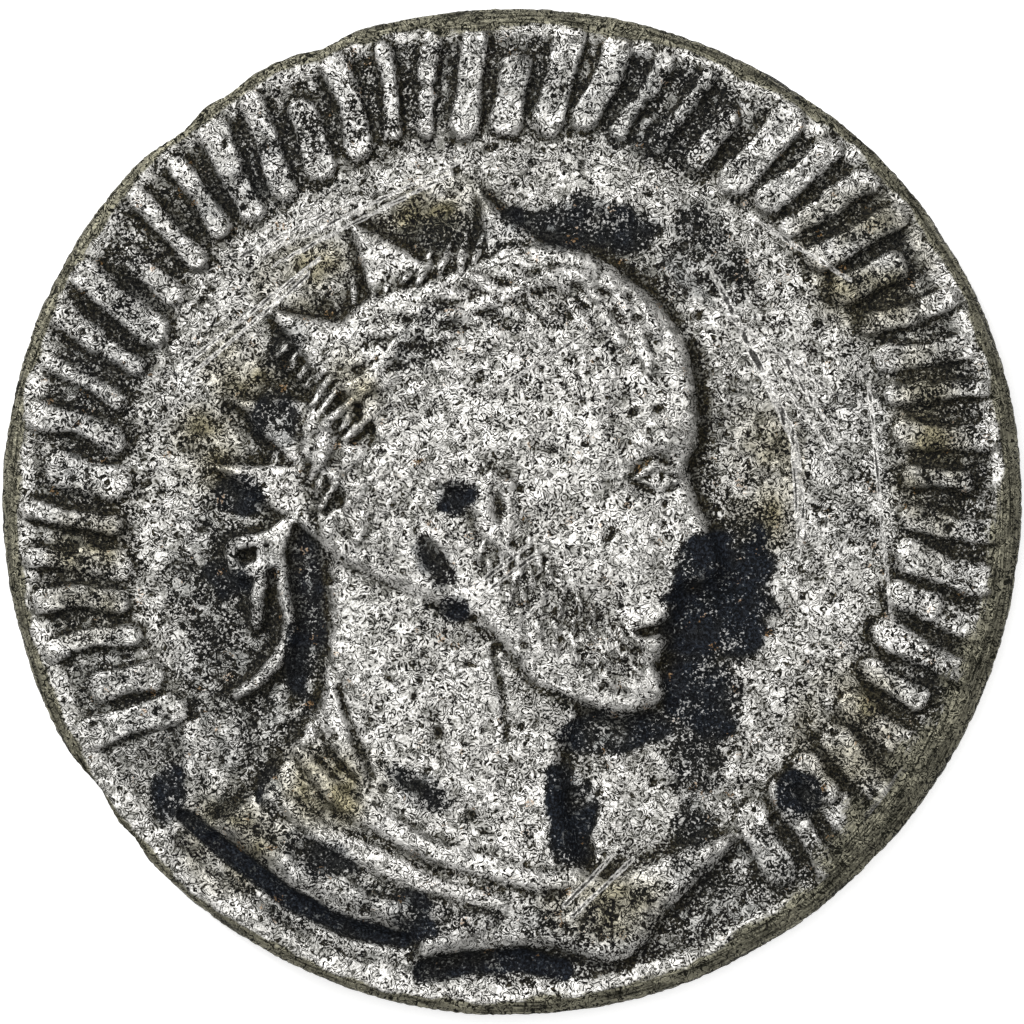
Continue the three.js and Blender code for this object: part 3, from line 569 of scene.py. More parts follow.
# A groove is its line, half width and depth
GROOVES = (
    (((-7.0, -6.6), (-6.15, -7.35), (-4.75, -8.35), (-3.6, -8.95), (-2.4, -9.25)), 0.24, 0.15),
    (((-1.9, -9.9), (-1.1, -9.75), (0.2, -9.7), (1.1, -9.85)), 0.34, 0.15),
    (((-4.6, -1.0), (-4.55, -2.6), (-4.75, -4.1)), 0.24, 0.06),
    (((1.25, -6.2), (1.55, -7.4)), 0.42, 0.1),
    (((-4.28, -4.5), (-3.9, -5.2), (-3.35, -5.85)), 0.1, 0.07),
    (((-4.0, -3.0), (-3.6, -4.4), (-3.0, -5.8)), 0.1, 0.07),
    (((-0.46, -3.0), (-0.05, -4.9)), 0.1, 0.06),
)
SCRATCHES = (
    ((4.26, 5.3), (6.05, 1.54), (6.22, -1.05)), ((4.4, 5.1), (6.15, 1.6), (6.34, -0.6)),
    ((5.79, 3.38), (7.09, 1.54)), ((5.6, 3.1), (6.9, 1.3)), ((7.35, -0.25), (6.63, -1.93)),
    ((-7.15, 3.12), (-4.15, 5.47)), ((-7.0, 2.9), (-4.4, 5.1)),
    ((-5.36, 5.58), (-3.98, 6.2), (-1.11, 7.58)), ((-5.2, 5.3), (-3.7, 6.1), (-1.3, 7.3)),
    ((-5.9, 5.5), (-3.3, 6.8)), ((-0.7, -1.82), (0.74, -0.74)), ((-0.8, -1.6), (0.5, -0.6)),
    ((0.03, -2.53), (0.81, -1.74)), ((5.1, 6.4), (7.3, 5.0)), ((4.7, 4.2), (6.9, 2.6)),
    ((7.7, 2.8), (8.2, -2.4)), ((1.1, -8.5), (2.2, -7.4)), ((1.3, -8.7), (2.6, -7.5)),
    ((7.6, -6.6), (9.4, -4.4)), ((7.9, -6.9), (9.5, -5.0)), ((8.4, -6.8), (9.9, -4.6)),
    ((-0.4, 2.6), (1.7, 3.9)),
)
SCRATCH_REACH = 0.3
# A nick is its place and spread in degrees and its depth
NICKS = ((131.0, 3.0, 0.16), (124.0, 2.0, 0.1), (112.0, 2.4, 0.13), (214.0, 3.4, 0.17), (221.0, 2.0, 0.09))
NICK_REACH = 0.5
EDGE_ROUGHNESS = 0.02
EDGE_SWELLS = ((1.6, 1.0, 71), (0.6, 0.5, 72))
SKIN_CLEARANCE = 0.02
PLANE_TOLERANCE = 0.01
UNDERSIDE_SINK = 0.02
UNDERSIDE_LUMPS = 0.6
# A hollow is judged against its surroundings near and wide, by a distance round it and a depth. The
# material darkens hollows, partly as the dark patina of recesses and partly as painted shade at the foot of
# the relief; the wide judgement paints broad shade, as under the jaw and behind the neck.
NEAR_ROUND = 0.11
NEAR_DEPTH = 0.045
WIDE_ROUND = 0.45
WIDE_DEPTH = 0.3
HIGHEST_PROUD = -0.2


def wander(x, y, seed):
    """The same place, shifted a little, so that a clean edge becomes a worn one."""
    for i, (size, shift) in enumerate(WANDERS):
        x = x + shift * clouds(x, y, size, seed + 2 * i)
        y = y + shift * clouds(x, y, size, seed + 2 * i + 1)
    return x, y


def lumps(x, y, seed):
    return sum(height * clouds(x, y, size, seed + i) for i, (size, height) in enumerate(LUMPS))


def dent(height, x, y, at, size, turned, depth):
    reach = max(size)
    near = (np.abs(x - at[0]) < reach) & (np.abs(y - at[1]) < reach)
    height[near] -= depth * np.sqrt(mound(at, size, turned, x[near], y[near]))


def damaged(height, x, y, seed, pit_count):
    """The struck height with its pits, and how deep the pits lie."""
    struck = height.copy()
    random = np.random.default_rng(seed)
    for _ in range(pit_count):
        reach = COIN_RADIUS * math.sqrt(random.uniform(0.0, SMALL_PIT_SPREAD))
        at = polar((0.0, 0.0), random.uniform(0.0, 360.0), reach)
        long = random.uniform(*SMALL_PIT_SIZES) * random.uniform(*SMALL_PIT_SCALES)
        depth = SMALL_PIT_DEPTH * random.uniform(*SMALL_PIT_DEPTHS)
        short = long * random.uniform(*SMALL_PIT_WIDTHS)
        dent(height, x, y, at, (long, short), random.uniform(0.0, 180.0), depth)
    return height, struck - height


def scratch_distance(x, y):
    """How far each place is from the nearest scratch. The material draws the sharp line from it."""
    nearest = np.full(x.shape, SCRATCH_REACH)
    for line in SCRATCHES:
        for start, end in zip(line, line[1:]):
            nearest = np.minimum(nearest, segment_distance(x, y, np.array(start), np.array(end))[0])
    return nearest


def layered_clouds(x, y, layers):
    """Swells of several sizes together, each layer as its size, share and seed."""
    return sum(share * clouds(x, y, size, seed) for size, share, seed in layers)


def nicked(x, y):
    """Shifts the places near the edge inwards, where the edge is nicked or rough."""
    inset, angle = from_edge(x, y)
    turn = np.degrees(angle) % 360.0
    depth = sum(cut * np.exp(-((turn - at) / width) ** 2) for at, width, cut in NICKS)
    arc_x, arc_y = COIN_RADIUS * np.cos(angle), COIN_RADIUS * np.sin(angle)
    depth = depth + EDGE_ROUGHNESS * np.maximum(0.0, layered_clouds(arc_x, arc_y, EDGE_SWELLS))
    share = 1.0 - depth * np.exp(-np.maximum(inset, 0.0) / NICK_REACH) / COIN_RADIUS
    return (x + CENTRE[0]) * share - CENTRE[0], (y + CENTRE[1]) * share - CENTRE[1]


def blurred(values, cells):
    """The same grid of values, each one averaged with its neighbours some cells round."""
    reach = int(math.ceil(2.5 * cells))
    weights = np.exp(-0.5 * (np.arange(-reach, reach + 1) / cells) ** 2)
    weights /= weights.sum()
    for axis in (0, 1):
        padded = np.pad(values, [(reach, reach) if axis == k else (0, 0) for k in (0, 1)], mode="edge")
        length = values.shape[axis]
        shifted = (np.take(padded, np.arange(i, i + length), axis=axis) for i in range(len(weights)))
        values = sum(weight * grid for weight, grid in zip(weights, shifted))
    return values


def hollowness(height):
    """How far each place lies below its surroundings, near and wide, about 1 in a full hollow."""
    near = blurred(height, NEAR_ROUND / CELL) - height
    wide = blurred(height, WIDE_ROUND / CELL) - height
    return np.maximum(HIGHEST_PROUD, near / NEAR_DEPTH + wide / WIDE_DEPTH)


top_x, top_y = nicked(*disc_places(OBVERSE_CELLS, EDGE_BULGE))
worn_x, worn_y = wander(top_x, top_y, 11)
top_z = obverse_height(worn_x, worn_y) + lumps(top_x, top_y, 31)
for line, width, depth in GROOVES:
    top_z = top_z - depth * ridge(line, width, worn_x, worn_y, end_width=0.8)
for pit_x, pit_y, long, short, turned, depth in PITS:
    dent(top_z, worn_x, worn_y, (pit_x, pit_y), (long, short), turned, depth)
top_z, top_pits = damaged(top_z, top_x, top_y, 5, SMALL_PITS)
top_z = np.minimum(top_z, COIN_TOP - SKIN_CLEARANCE)

low_x, low_y = nicked(*disc_places(UNDERSIDE_CELLS, EDGE_BULGE))
low_worn_x, low_worn_y = wander(low_x, low_y, 21)
low_z = underside_height(low_worn_x, low_worn_y)
on_plane = low_z < PLANE_TOLERANCE
low_lumps = UNDERSIDE_SINK + UNDERSIDE_LUMPS * lumps(low_x, low_y, 41)
low_z = low_z + np.where(on_plane, 0.0, 1.0) * low_lumps
raised, low_pits = damaged(-low_z, low_x, low_y, 6, SMALL_PITS // 2)
low_z = np.maximum(-raised, 0.0)

# Toning and painted shade
# Silver sulphide and dirt, blue-black, in patches where the coin was not rubbed: above the crown, beside
# the lower face, between the strokes and along the cloak. The patches above the crown, under the jaw and
# behind the neck lie at the foot of the relief and are partly painted shade. Other patches are earthy, and
# the rim is stained olive. A patch is its place, half length, half width, turn in degrees and strength.
TONED_AND_SHADED_PATCHES = (
    (1.8, 6.15, 1.7, 0.55, -4.0, 0.58), (-1.0, 6.0, 1.2, 0.35, 0.0, 0.3),
    (4.2, 5.6, 1.2, 0.8, -50.0, 0.38), (4.5, -1.9, 1.0, 1.5, -15.0, 1.0),
    (4.1, -3.9, 0.7, 1.0, 15.0, 0.9), (2.2, -4.7, 1.2, 0.4, 5.0, 0.7),
    (-5.4, 7.6, 1.6, 0.8, 35.0, 0.35), (3.1, 8.7, 1.8, 1.0, -15.0, 0.35),
    (-6.0, -2.8, 1.2, 2.6, 8.0, 0.3), (-5.9, 0.3, 0.5, 0.45, 0.0, 0.85),
    (-6.1, -1.45, 0.55, 0.45, 0.0, 0.85), (-5.1, 1.9, 0.45, 0.7, 10.0, 0.6),
    (-4.9, 3.5, 0.4, 0.7, -20.0, 0.35), (-7.4, -6.05, 0.35, 0.6, 0.0, 0.7),
    (-5.2, -5.9, 0.3, 0.6, 0.0, 0.7), (-4.2, -7.4, 0.9, 0.4, -30.0, 0.5),
    (-2.0, -6.0, 0.7, 0.35, -35.0, 0.5), (-2.1, -8.7, 0.5, 0.5, 0.0, 0.7),
    (3.9, -5.3, 0.6, 0.9, 10.0, 0.4), (3.9, -6.9, 0.4, 0.6, 0.0, 0.4), (3.9, -7.8, 0.4, 0.4, 0.0, 0.35),
    (6.2, -6.1, 0.45, 0.45, 0.0, 0.8), (1.3, -6.6, 0.5, 1.1, 12.0, 0.9),
    (-4.5, -2.3, 0.4, 1.7, 0.0, 0.8), (-1.2, 0.33, 0.4, 0.35, 20.0, 0.9),
    (-1.65, -1.1, 0.7, 0.35, -55.0, 0.7), (-1.25, -2.1, 0.3, 0.25, 0.0, 0.7),
    (-1.9, 3.8, 0.8, 0.5, 40.0, 0.3), (7.4, 1.2, 0.9, 2.0, -5.0, 0.15),
    (-8.8, 3.0, 0.8, 2.4, -15.0, 0.3),
)
TONED_BAND = (0.6, 2.5)
TONED_BAND_STRENGTH = 0.2
TONED_BAND_FADE = 0.3
TONED_BAND_SWELLS = ((1.3, 0.6, 64),)
TONED_SPREAD = 1.4
TONED_RAGGED = ((0.5, 0.5, 69), (0.22, 0.3, 70))
TONED_RAGGED_INSET = 0.2
TONED_SWELLS = ((0.5, 0.4, 65), (0.22, 0.2, 66))
TONED_GROOVES = ((GROOVES[0][0], 0.31, 0.95), (GROOVES[1][0], 0.38, 0.95))


def toning_and_shade(x, y):
    x, y = wander(x, y, 61)
    inset, _ = from_edge(x, y)
    in_band = soft_step((inset - TONED_BAND[0]) / TONED_BAND_FADE)
    in_band = in_band * soft_step((TONED_BAND[1] - inset) / TONED_BAND_FADE)
    dark = TONED_BAND_STRENGTH * in_band * (1.0 + layered_clouds(x, y, TONED_BAND_SWELLS))
    ragged = layered_clouds(x, y, TONED_RAGGED) - TONED_RAGGED_INSET
    for at_x, at_y, long, short, turned, strength in TONED_AND_SHADED_PATCHES:
        size = (TONED_SPREAD * long, TONED_SPREAD * short)
        share = np.sqrt(mound((at_x, at_y), size, turned, x, y))
        dark = np.maximum(dark, strength * soft_step(4.0 * share) * soft_step(1.8 * share + ragged))
    for line, width, strength in TONED_GROOVES:
        dark = np.maximum(dark, strength * ridge(line, width, x, y, end_width=0.9))
    return dark * (0.95 + layered_clouds(x, y, TONED_SWELLS))


# The stain's width, and the places in degrees where it is broader, with their spread and extra width
STAIN_WIDTH = 0.26
STAIN_BROADER = ((92.0, 22.0, 0.17), (-32.0, 30.0, 0.6), (175.0, 25.0, 0.12))
STAIN_SWELLS = ((1.1, 0.3, 51), (0.4, 0.2, 52))
STAIN_FADE = 0.12
STAIN_WIDE_FADE = 1.3
# A patch is its place, half length, half width and turn in degrees
EARTHY_PATCHES = (
    (-4.5, 5.1, 1.3, 1.0, 35.0), (-3.3, 2.6, 0.6, 1.2, 25.0), (-1.8, 6.5, 1.5, 0.9, 15.0),
    (-5.8, 3.1, 1.2, 1.2, 0.0), (-6.6, 1.4, 1.0, 1.2, 0.0), (7.6, 5.4, 1.6, 2.0, 30.0),
    (9.0, 1.5, 1.0, 3.0, 0.0), (-4.0, -5.9, 1.6, 1.2, 0.0), (7.4, -5.0, 1.6, 2.0, 0.0),
    (-9.2, -1.2, 1.0, 2.0, 0.0), (-6.0, -7.0, 1.4, 1.4, 0.0), (2.0, -8.4, 1.6, 1.0, 0.0),
    (5.4, 0.8, 1.0, 2.0, 0.0),
)
EARTHY_SWELLS = ((0.7, 0.5, 67), (0.3, 0.3, 68))


def stained(x, y):
    """Share of the olive brown stain along the edge, which is broad at lower right."""
    inset, angle = from_edge(x, y)
    width = STAIN_WIDTH
    for at, spread, extra in STAIN_BROADER:
        turn = np.mod(np.degrees(angle) - at + 180.0, 360.0) - 180.0
        width = width + extra * np.exp(-0.5 * (turn / spread) ** 2)
    width = width * (1.0 + layered_clouds(x, y, STAIN_SWELLS))
    return soft_step((width - inset) / (STAIN_FADE + STAIN_WIDE_FADE * width ** 2) + 0.5)


def earthy(x, y):
    x, y = wander(x, y, 63)
    places = (mound((a, b), (c, d), turned, x, y) for a, b, c, d, turned in EARTHY_PATCHES)
    return np.sqrt(highest(places, x)) * (0.7 + layered_clouds(x, y, EARTHY_SWELLS))


# Skin of the coin
# The two faces and the edge between them are joined to one closed skin, fine enough to hold every
# stroke, fold and pit.
EDGE_RINGS = 3
RING_CLEARANCE = 0.012
BULGE_FADE = 0.12
LEAST_BULGE = 0.2
EDGE_DENT_SIZE = 0.3
EDGE_DENT_DEPTH = 0.02
# Values that the underside and the edge hold for the material
EDGE_HOLLOW = 0.3
UNDERSIDE_RUBBED = 0.4
UNDERSIDE_TONING = 0.3
EDGE_TONING = 0.35
EDGE_EARTH = 0.6
RUBBED_HEIGHT = 0.5


def ring(cells):
    """The outermost places of a grid, once round against the clock."""
    last = cells
    row = np.arange(cells + 1)
    sides = [(0 * row, row), (row, 0 * row + last), (0 * row + last, row[::-1]), (row[::-1], 0 * row)]
    return np.concatenate([(side[0] * (cells + 1) + side[1])[:-1] for side in sides])


def face_quads(cells, first, flipped):
    index = first + np.arange((cells + 1) ** 2).reshape(cells + 1, cells + 1)
    a, b, c, d = index[:-1, :-1], index[:-1, 1:], index[1:, 1:], index[1:, :-1]
    order = (a, d, c, b) if flipped else (a, b, c, d)
    return np.stack([corner.ravel() for corner in order], axis=1).tolist()


top_ring = ring(OBVERSE_CELLS)
low_ring = ring(UNDERSIDE_CELLS)
top_edge = np.stack([grid.ravel()[top_ring] for grid in (top_x, top_y, top_z)], axis=1)
low_edge = np.stack([grid.ravel()[low_ring] for grid in (low_x, low_y, low_z)], axis=1)
low_edge_fine = np.empty_like(top_edge)
low_edge_fine[0::2] = low_edge
low_edge_fine[1::2] = (low_edge + np.roll(low_edge, -1, axis=0)) / 2.0
edge_angle = np.arctan2(top_edge[:, 1] + CENTRE[1], top_edge[:, 0] + CENTRE[0])
edge_inset = outline_radius(edge_angle) - np.hypot(top_edge[:, 0] + CENTRE[0], top_edge[:, 1] + CENTRE[1])
rings = []
for i in range(1, EDGE_RINGS + 1):
    share = i / (EDGE_RINGS + 1.0)
    line = top_edge * (1.0 - share) + low_edge_fine * share
    bulge = (EDGE_BULGE - RING_CLEARANCE) * (1.0 - (2.0 * share - 1.0) ** 2)
    bulge = bulge * np.clip(1.0 - (edge_inset - EDGE_BULGE) / BULGE_FADE, LEAST_BULGE, 1.0)
    dents = clouds(line[:, 0] + 3.0 * share, line[:, 1], EDGE_DENT_SIZE, 80 + i)
    bulge = bulge - EDGE_DENT_DEPTH * np.maximum(0.0, dents)
    line[:, 0] += bulge * np.cos(edge_angle)
    line[:, 1] += bulge * np.sin(edge_angle)
    rings.append(line)

top_points = np.stack([top_x.ravel(), top_y.ravel(), top_z.ravel()], axis=1)
low_points = np.stack([low_x.ravel(), low_y.ravel(), low_z.ravel()], axis=1)
points = np.concatenate([top_points, low_points, *rings])
first_low = len(top_points)
first_ring = first_low + len(low_points)
count = len(top_ring)
ring_indices = [top_ring] + [first_ring + k * count + np.arange(count) for k in range(EDGE_RINGS)]
faces = face_quads(OBVERSE_CELLS, 0, False) + face_quads(UNDERSIDE_CELLS, first_low, True)
for above, below in zip(ring_indices, ring_indices[1:]):
    faces += np.stack([above, below, np.roll(below, -1), np.roll(above, -1)], axis=1).tolist()
last_ring = ring_indices[-1]
for i, start in enumerate(low_ring):
    end = low_ring[(i + 1) % len(low_ring)]
    a, b, c = (int(last_ring[(2 * i + k) % count]) for k in range(3))
    low_a, low_b = first_low + int(start), first_low + int(end)
    faces += [[a, low_a, b], [b, low_a, low_b], [b, low_b, c]]

mesh = bpy.data.meshes.new("coin_skin")
mesh.from_pydata((points * MM).tolist(), [], faces)
mesh.shade_smooth()


def hold(name, top, low, edge):
    """Keeps a value for each point of the skin, for the materials."""
    values = np.concatenate([top.ravel(), low.ravel(), np.full(EDGE_RINGS * count, edge)])
    mesh.attributes.new(name, "FLOAT", "POINT").data.foreach_set("value", values.astype(np.float32))


# The hollow value darkens the material: partly the dark patina of recesses, partly painted shade
hold("hollow", hollowness(top_z), hollowness(-low_z), EDGE_HOLLOW)
top_rubbed = soft_step((top_z - OBVERSE_FIELD) / RUBBED_HEIGHT)
low_rubbed = soft_step(UNDERSIDE_RUBBED - low_z / RUBBED_HEIGHT)
hold("rubbed", top_rubbed, low_rubbed, 0.0)
low_toning = UNDERSIDE_TONING * (1.0 + clouds(low_x, low_y, 2.5, 91))
# The toning holds tarnish and, at the foot of the relief, patches of painted shade
hold("toning_and_shade", toning_and_shade(top_x, top_y), low_toning, EDGE_TONING)
hold("stain", stained(top_x, top_y), stained(low_x, low_y), 1.0)
hold("earth", earthy(top_x, top_y), earthy(low_x, -low_y), EDGE_EARTH)
hold("scratch", scratch_distance(top_x, top_y), np.full(low_x.shape, SCRATCH_REACH), SCRATCH_REACH)
hold("pits", top_pits / SMALL_PIT_DEPTH, low_pits / SMALL_PIT_DEPTH, 0.0)
coin_skin = bpy.data.objects.new("coin_skin", mesh)
bpy.context.scene.collection.objects.link(coin_skin)

# Corroded surface
# The ground has eaten copper out of the silvered billon and left a spongy skin. The skin is only ever
# eaten inwards, in soft hollows and in a fine net of worm-like channels.


def add(tree, kind, settings=None, inputs=None):
    """Adds a node with its settings, and its inputs as plain values or as sockets to link."""
    made = tree.nodes.new(kind)
    for name, value in (settings or {}).items():
        setattr(made, name, value)
    for name, value in (inputs or {}).items():
        if isinstance(value, bpy.types.NodeSocket):
            tree.links.new(value, made.inputs[name])
        else:
            made.inputs[name].default_value = value
    return made


def corroded_surface_tree():
    tree = bpy.data.node_groups.new("corroded_surface", "GeometryNodeTree")
    tree.interface.new_socket("Geometry", in_out="INPUT", socket_type="NodeSocketGeometry")
    for name, default in (
        ("Hollow Size", 0.45 * MM), ("Hollow Depth", 0.02 * MM),
        ("Channel Spacing", 0.22 * MM), ("Channel Depth", 0.02 * MM), ("Seed", 3.0),
    ):
        socket = tree.interface.new_socket(name, in_out="INPUT", socket_type="NodeSocketFloat")
        socket.default_value = default
    tree.interface.new_socket("Material", in_out="INPUT", socket_type="NodeSocketMaterial")
    tree.interface.new_socket("Geometry", in_out="OUTPUT", socket_type="NodeSocketGeometry")
    given = add(tree, "NodeGroupInput").outputs
    place = add(tree, "GeometryNodeInputPosition").outputs[0]
    facing = add(tree, "GeometryNodeInputNormal").outputs[0]

    def eaten(spacing, detail, distortion):
        scale = add(tree, "ShaderNodeMath", {"operation": "DIVIDE"}, {0: 1.0, 1: spacing}).outputs[0]
        noise = add(tree, "ShaderNodeTexNoise", {"noise_dimensions": "4D"}, {
            "Vector": place, "W": given["Seed"], "Scale": scale, "Detail": detail, "Distortion": distortion,
        })
        return noise.outputs["Fac"]

    hollows = add(tree, "ShaderNodeMapRange", {"interpolation_type": "SMOOTHSTEP"}, {
        "Value": eaten(given["Hollow Size"], 2.0, 0.4), "From Min": 0.5, "From Max": 0.7,
    }).outputs[0]
    from_middle = add(tree, "ShaderNodeMath", {"operation": "SUBTRACT"}, {
        0: eaten(given["Channel Spacing"], 1.0, 0.8), 1: 0.5,
    }).outputs[0]
    distance = add(tree, "ShaderNodeMath", {"operation": "ABSOLUTE"}, {0: from_middle}).outputs[0]
    channels = add(tree, "ShaderNodeMapRange", {"interpolation_type": "SMOOTHSTEP"}, {
        "Value": distance, "From Min": 0.0, "From Max": 0.09, "To Min": 1.0, "To Max": 0.0,
    }).outputs[0]
    hollow_depth = add(tree, "ShaderNodeMath", {"operation": "MULTIPLY"}, {
        0: hollows, 1: given["Hollow Depth"],
    })
    depth = add(tree, "ShaderNodeMath", {"operation": "MULTIPLY_ADD"}, {
        0: channels, 1: given["Channel Depth"], 2: hollow_depth.outputs[0],
    }).outputs[0]
    inwards = add(tree, "ShaderNodeMath", {"operation": "MULTIPLY"}, {0: depth, 1: -1.0}).outputs[0]
    shift = add(tree, "ShaderNodeVectorMath", {"operation": "SCALE"}, {
        0: facing, "Scale": inwards,
    }).outputs[0]
    moved = add(tree, "GeometryNodeSetPosition", None, {"Geometry": given["Geometry"], "Offset": shift})
    kept = add(tree, "GeometryNodeStoreNamedAttribute", {"data_type": "FLOAT", "domain": "POINT"}, {
        "Geometry": moved.outputs[0], "Name": "eaten", "Value": hollows,
    })
    single = add(tree, "GeometryNodeRealizeInstances", None, {"Geometry": kept.outputs[0]})
    finished = add(tree, "GeometryNodeSetMaterial", None, {
        "Geometry": single.outputs[0], "Material": given["Material"],
    })
    add(tree, "NodeGroupOutput", None, {"Geometry": finished.outputs[0]})
    return tree


def linear(colour):
    """An sRGB hex colour as the linear values that Blender takes."""
    parts = [int(colour[i:i + 2], 16) / 255.0 for i in (1, 3, 5)]
    return [part / 12.92 if part <= 0.04045 else ((part + 0.055) / 1.055) ** 2.4 for part in parts] + [1.0]


CRACK_SIZE = 0.18
CRACK_STEP = 0.1
SPECK_SIZE = 0.06
FLAKE_SIZE = 0.16
PATCH_SIZE = 0.6
BRUSHED_WIDTH = 0.045
BRUSHED_LENGTH = 0.9


def worn_silvered_billon():
    """Struck billon with a silvery skin, rubbed by use. The skin shines softly and is broken by fine
    worm-like cracks; in hollows and patches it is gone, down to matt dark copper oxide and silver
    sulphide, and this dark is partly painted shade where the hollows and some patches lie at the foot of
    the relief. Scratches cross it, drawn in colour as a dark line in a pale rim, partly painted shade and
    highlight, and along the edge an olive brown stain is brushed into streaks."""
    material = bpy.data.materials.new("worn_silvered_billon")
    material.use_nodes = True
    tree = material.node_tree
    tree.nodes.clear()
    place = add(tree, "ShaderNodeTexCoord").outputs["Object"]
    held = {
        name: add(tree, "ShaderNodeAttribute", {"attribute_name": name}).outputs["Fac"]
        for name in ("hollow", "rubbed", "toning_and_shade", "stain", "earth", "scratch", "pits", "eaten")
    }

    def noise(size, detail, distortion=0.0, roughness=0.5, at=place, scale=1.0 / MM):
        return add(tree, "ShaderNodeTexNoise", None, {
            "Vector": at, "Scale": scale / size, "Detail": detail, "Distortion": distortion,
            "Roughness": roughness,
        }).outputs["Fac"]

    def maths(operation, *values):
        return add(tree, "ShaderNodeMath", {"operation": operation}, dict(enumerate(values))).outputs[0]

    def weighed(*pairs):
        total = 0.0
        for value, weight in pairs:
            total = maths("MULTIPLY_ADD", value, weight, total)
        return total

    def between(value, low, high, start=0.0, end=1.0):
        return add(tree, "ShaderNodeMapRange", {"interpolation_type": "SMOOTHSTEP"}, {
            "Value": value, "From Min": low, "From Max": high, "To Min": start, "To Max": end,
        }).outputs[0]

    def mixed(share, colour_a, colour_b):
        return add(tree, "ShaderNodeMix", {"data_type": "RGBA"}, {
            "Factor": share, 6: colour_a, 7: colour_b,
        }).outputs[2]

    cracks = maths("PINGPONG", noise(CRACK_SIZE, 1.6, 1.0), CRACK_STEP)
    specks = noise(SPECK_SIZE, 1.0, 0.6)
    patches = noise(PATCH_SIZE, 3.0, 0.5, 0.65)
    broad = noise(3.2, 1.0)
    cells = add(tree, "ShaderNodeTexVoronoi", {"voronoi_dimensions": "2D", "feature": "F1"}, {
        "Vector": place, "Scale": 1.0 / (FLAKE_SIZE * MM),
    }).outputs["Color"]
    flake, crumb = add(tree, "ShaderNodeSeparateColor", None, {0: cells}).outputs[:2]
    # Bare places, from 0 up: hollow, toned, pitted or eaten, or where the skin is thin. The dark of
    # hollows and of toned patches at the foot of the relief is partly painted shade.
    bareness = weighed(
        (held["hollow"], 0.36), (held["toning_and_shade"], 0.55), (held["pits"], 0.4), (held["eaten"], 0.08),
        (patches, 1.2), (broad, 0.4), (specks, 0.25), (flake, 0.34), (held["rubbed"], -0.03),
        (held["earth"], 0.1), (1.0, -1.275),
    )
    tarnish = between(bareness, -0.035, 0.035)
    unbroken = between(weighed((cracks, 1.0), (specks, 0.09), (bareness, -0.06)), 0.07, 0.089)
    # Specks of bright metal left in the tarnish
    glints = weighed((specks, 1.0), (patches, 0.7), (cracks, 1.0), (flake, 0.1), (held["toning_and_shade"], -0.08))
    glints = between(glints, 1.02, 1.1, 0.0, 0.75)
    silver = maths("MULTIPLY", unbroken, maths("SUBTRACT", 1.0, tarnish))
    silver = maths("MAXIMUM", silver, maths("MULTIPLY", glints, tarnish))
    # Tone of the skin, from 0, dull, to 1, bright; it falls in hollows, partly as painted shade
    tone = weighed(
        (flake, 0.8), (specks, 1.0), (cracks, 5.0), (broad, 0.5), (held["hollow"], -0.5), (bareness, -0.3),
        (held["rubbed"], 0.09), (1.0, -1.085),
    )
    low_light = mixed(held["earth"], linear("#72716B"), linear("#46422F"))
    high_light = mixed(held["earth"], linear("#F6F4EF"), linear("#B0A88A"))
    light = mixed(tone, low_light, high_light)
    bluish = maths("MULTIPLY", held["toning_and_shade"], between(patches, 0.35, 0.6, 0.75, 0.35))
    light = mixed(bluish, light, linear("#4A525B"))
    # Bare places: olive brown dirt, and blue-black sulphide where the coin is toned; where the toned
    # patches lie at the foot of the relief, this dark is partly painted shade
    olive = mixed(between(specks, 0.4, 0.65), linear("#0D0D0A"), linear("#3D3827"))
    blue = mixed(between(specks, 0.4, 0.7), linear("#0A0C10"), linear("#2A3039"))
    dark = mixed(maths("MULTIPLY", held["toning_and_shade"], 1.1), olive, blue)
    colour = mixed(silver, dark, light)
    # Tan crumbs of earth, and scratches drawn in colour only, with no groove in the skin: a dark line,
    # partly dirt and partly painted shade of the groove, in a pale rim, partly burr and partly painted
    # highlight
    crumbs = between(weighed((crumb, 1.0), (specks, 0.25)), 1.135, 1.15, 0.0, 0.5)
    colour = mixed(crumbs, colour, linear("#A57C48"))
    from_scratch = weighed((held["scratch"], 1.0), (specks, 0.03), (patches, 0.08), (1.0, -0.055))
    colour = mixed(between(from_scratch, 0.04, 0.06, 0.7, 0.0), colour, linear("#E4E2DD"))
    colour = mixed(between(from_scratch, 0.014, 0.028, 0.9, 0.0), colour, linear("#12110D"))
    # The stain along the edge, in streaks round the coin
    position = add(tree, "ShaderNodeSeparateXYZ", None, {0: place}).outputs
    reach = add(tree, "ShaderNodeVectorMath", {"operation": "LENGTH"}, {0: place}).outputs["Value"]
    brushed_place = add(tree, "ShaderNodeCombineXYZ", None, {
        "X": maths("DIVIDE", reach, BRUSHED_WIDTH * MM),
        "Y": maths("MULTIPLY", maths("ARCTAN2", position[1], position[0]), COIN_RADIUS / BRUSHED_LENGTH),
    }).outputs[0]
    brushed = noise(1.0, 2.0, 0.4, at=brushed_place, scale=1.0)
    streaks = between(weighed((brushed, 0.8), (specks, 0.35), (patches, 0.3)), 0.5, 0.9)
    stain = mixed(maths("MULTIPLY", streaks, unbroken), linear("#17170F"), linear("#8F8C7A"))
    stain_share = between(weighed((held["stain"], 1.0), (patches, 1.0), (brushed, 0.5)), 1.0, 1.45)
    colour = mixed(stain_share, colour, stain)
    metal = maths("MULTIPLY_ADD", silver, 0.7, 0.05)
    rough = maths("MULTIPLY_ADD", silver, -0.3, 0.75)
    relief = weighed((maths("MINIMUM", cracks, 0.04), 20.0), (specks, 0.7))
    bump = add(tree, "ShaderNodeBump", None, {"Height": relief, "Distance": 0.03 * MM, "Strength": 1.0})
    shader = add(tree, "ShaderNodeBsdfPrincipled", None, {
        "Base Color": colour, "Metallic": metal, "Roughness": rough, "Specular IOR Level": 0.15,
        "Normal": bump.outputs[0],
    })
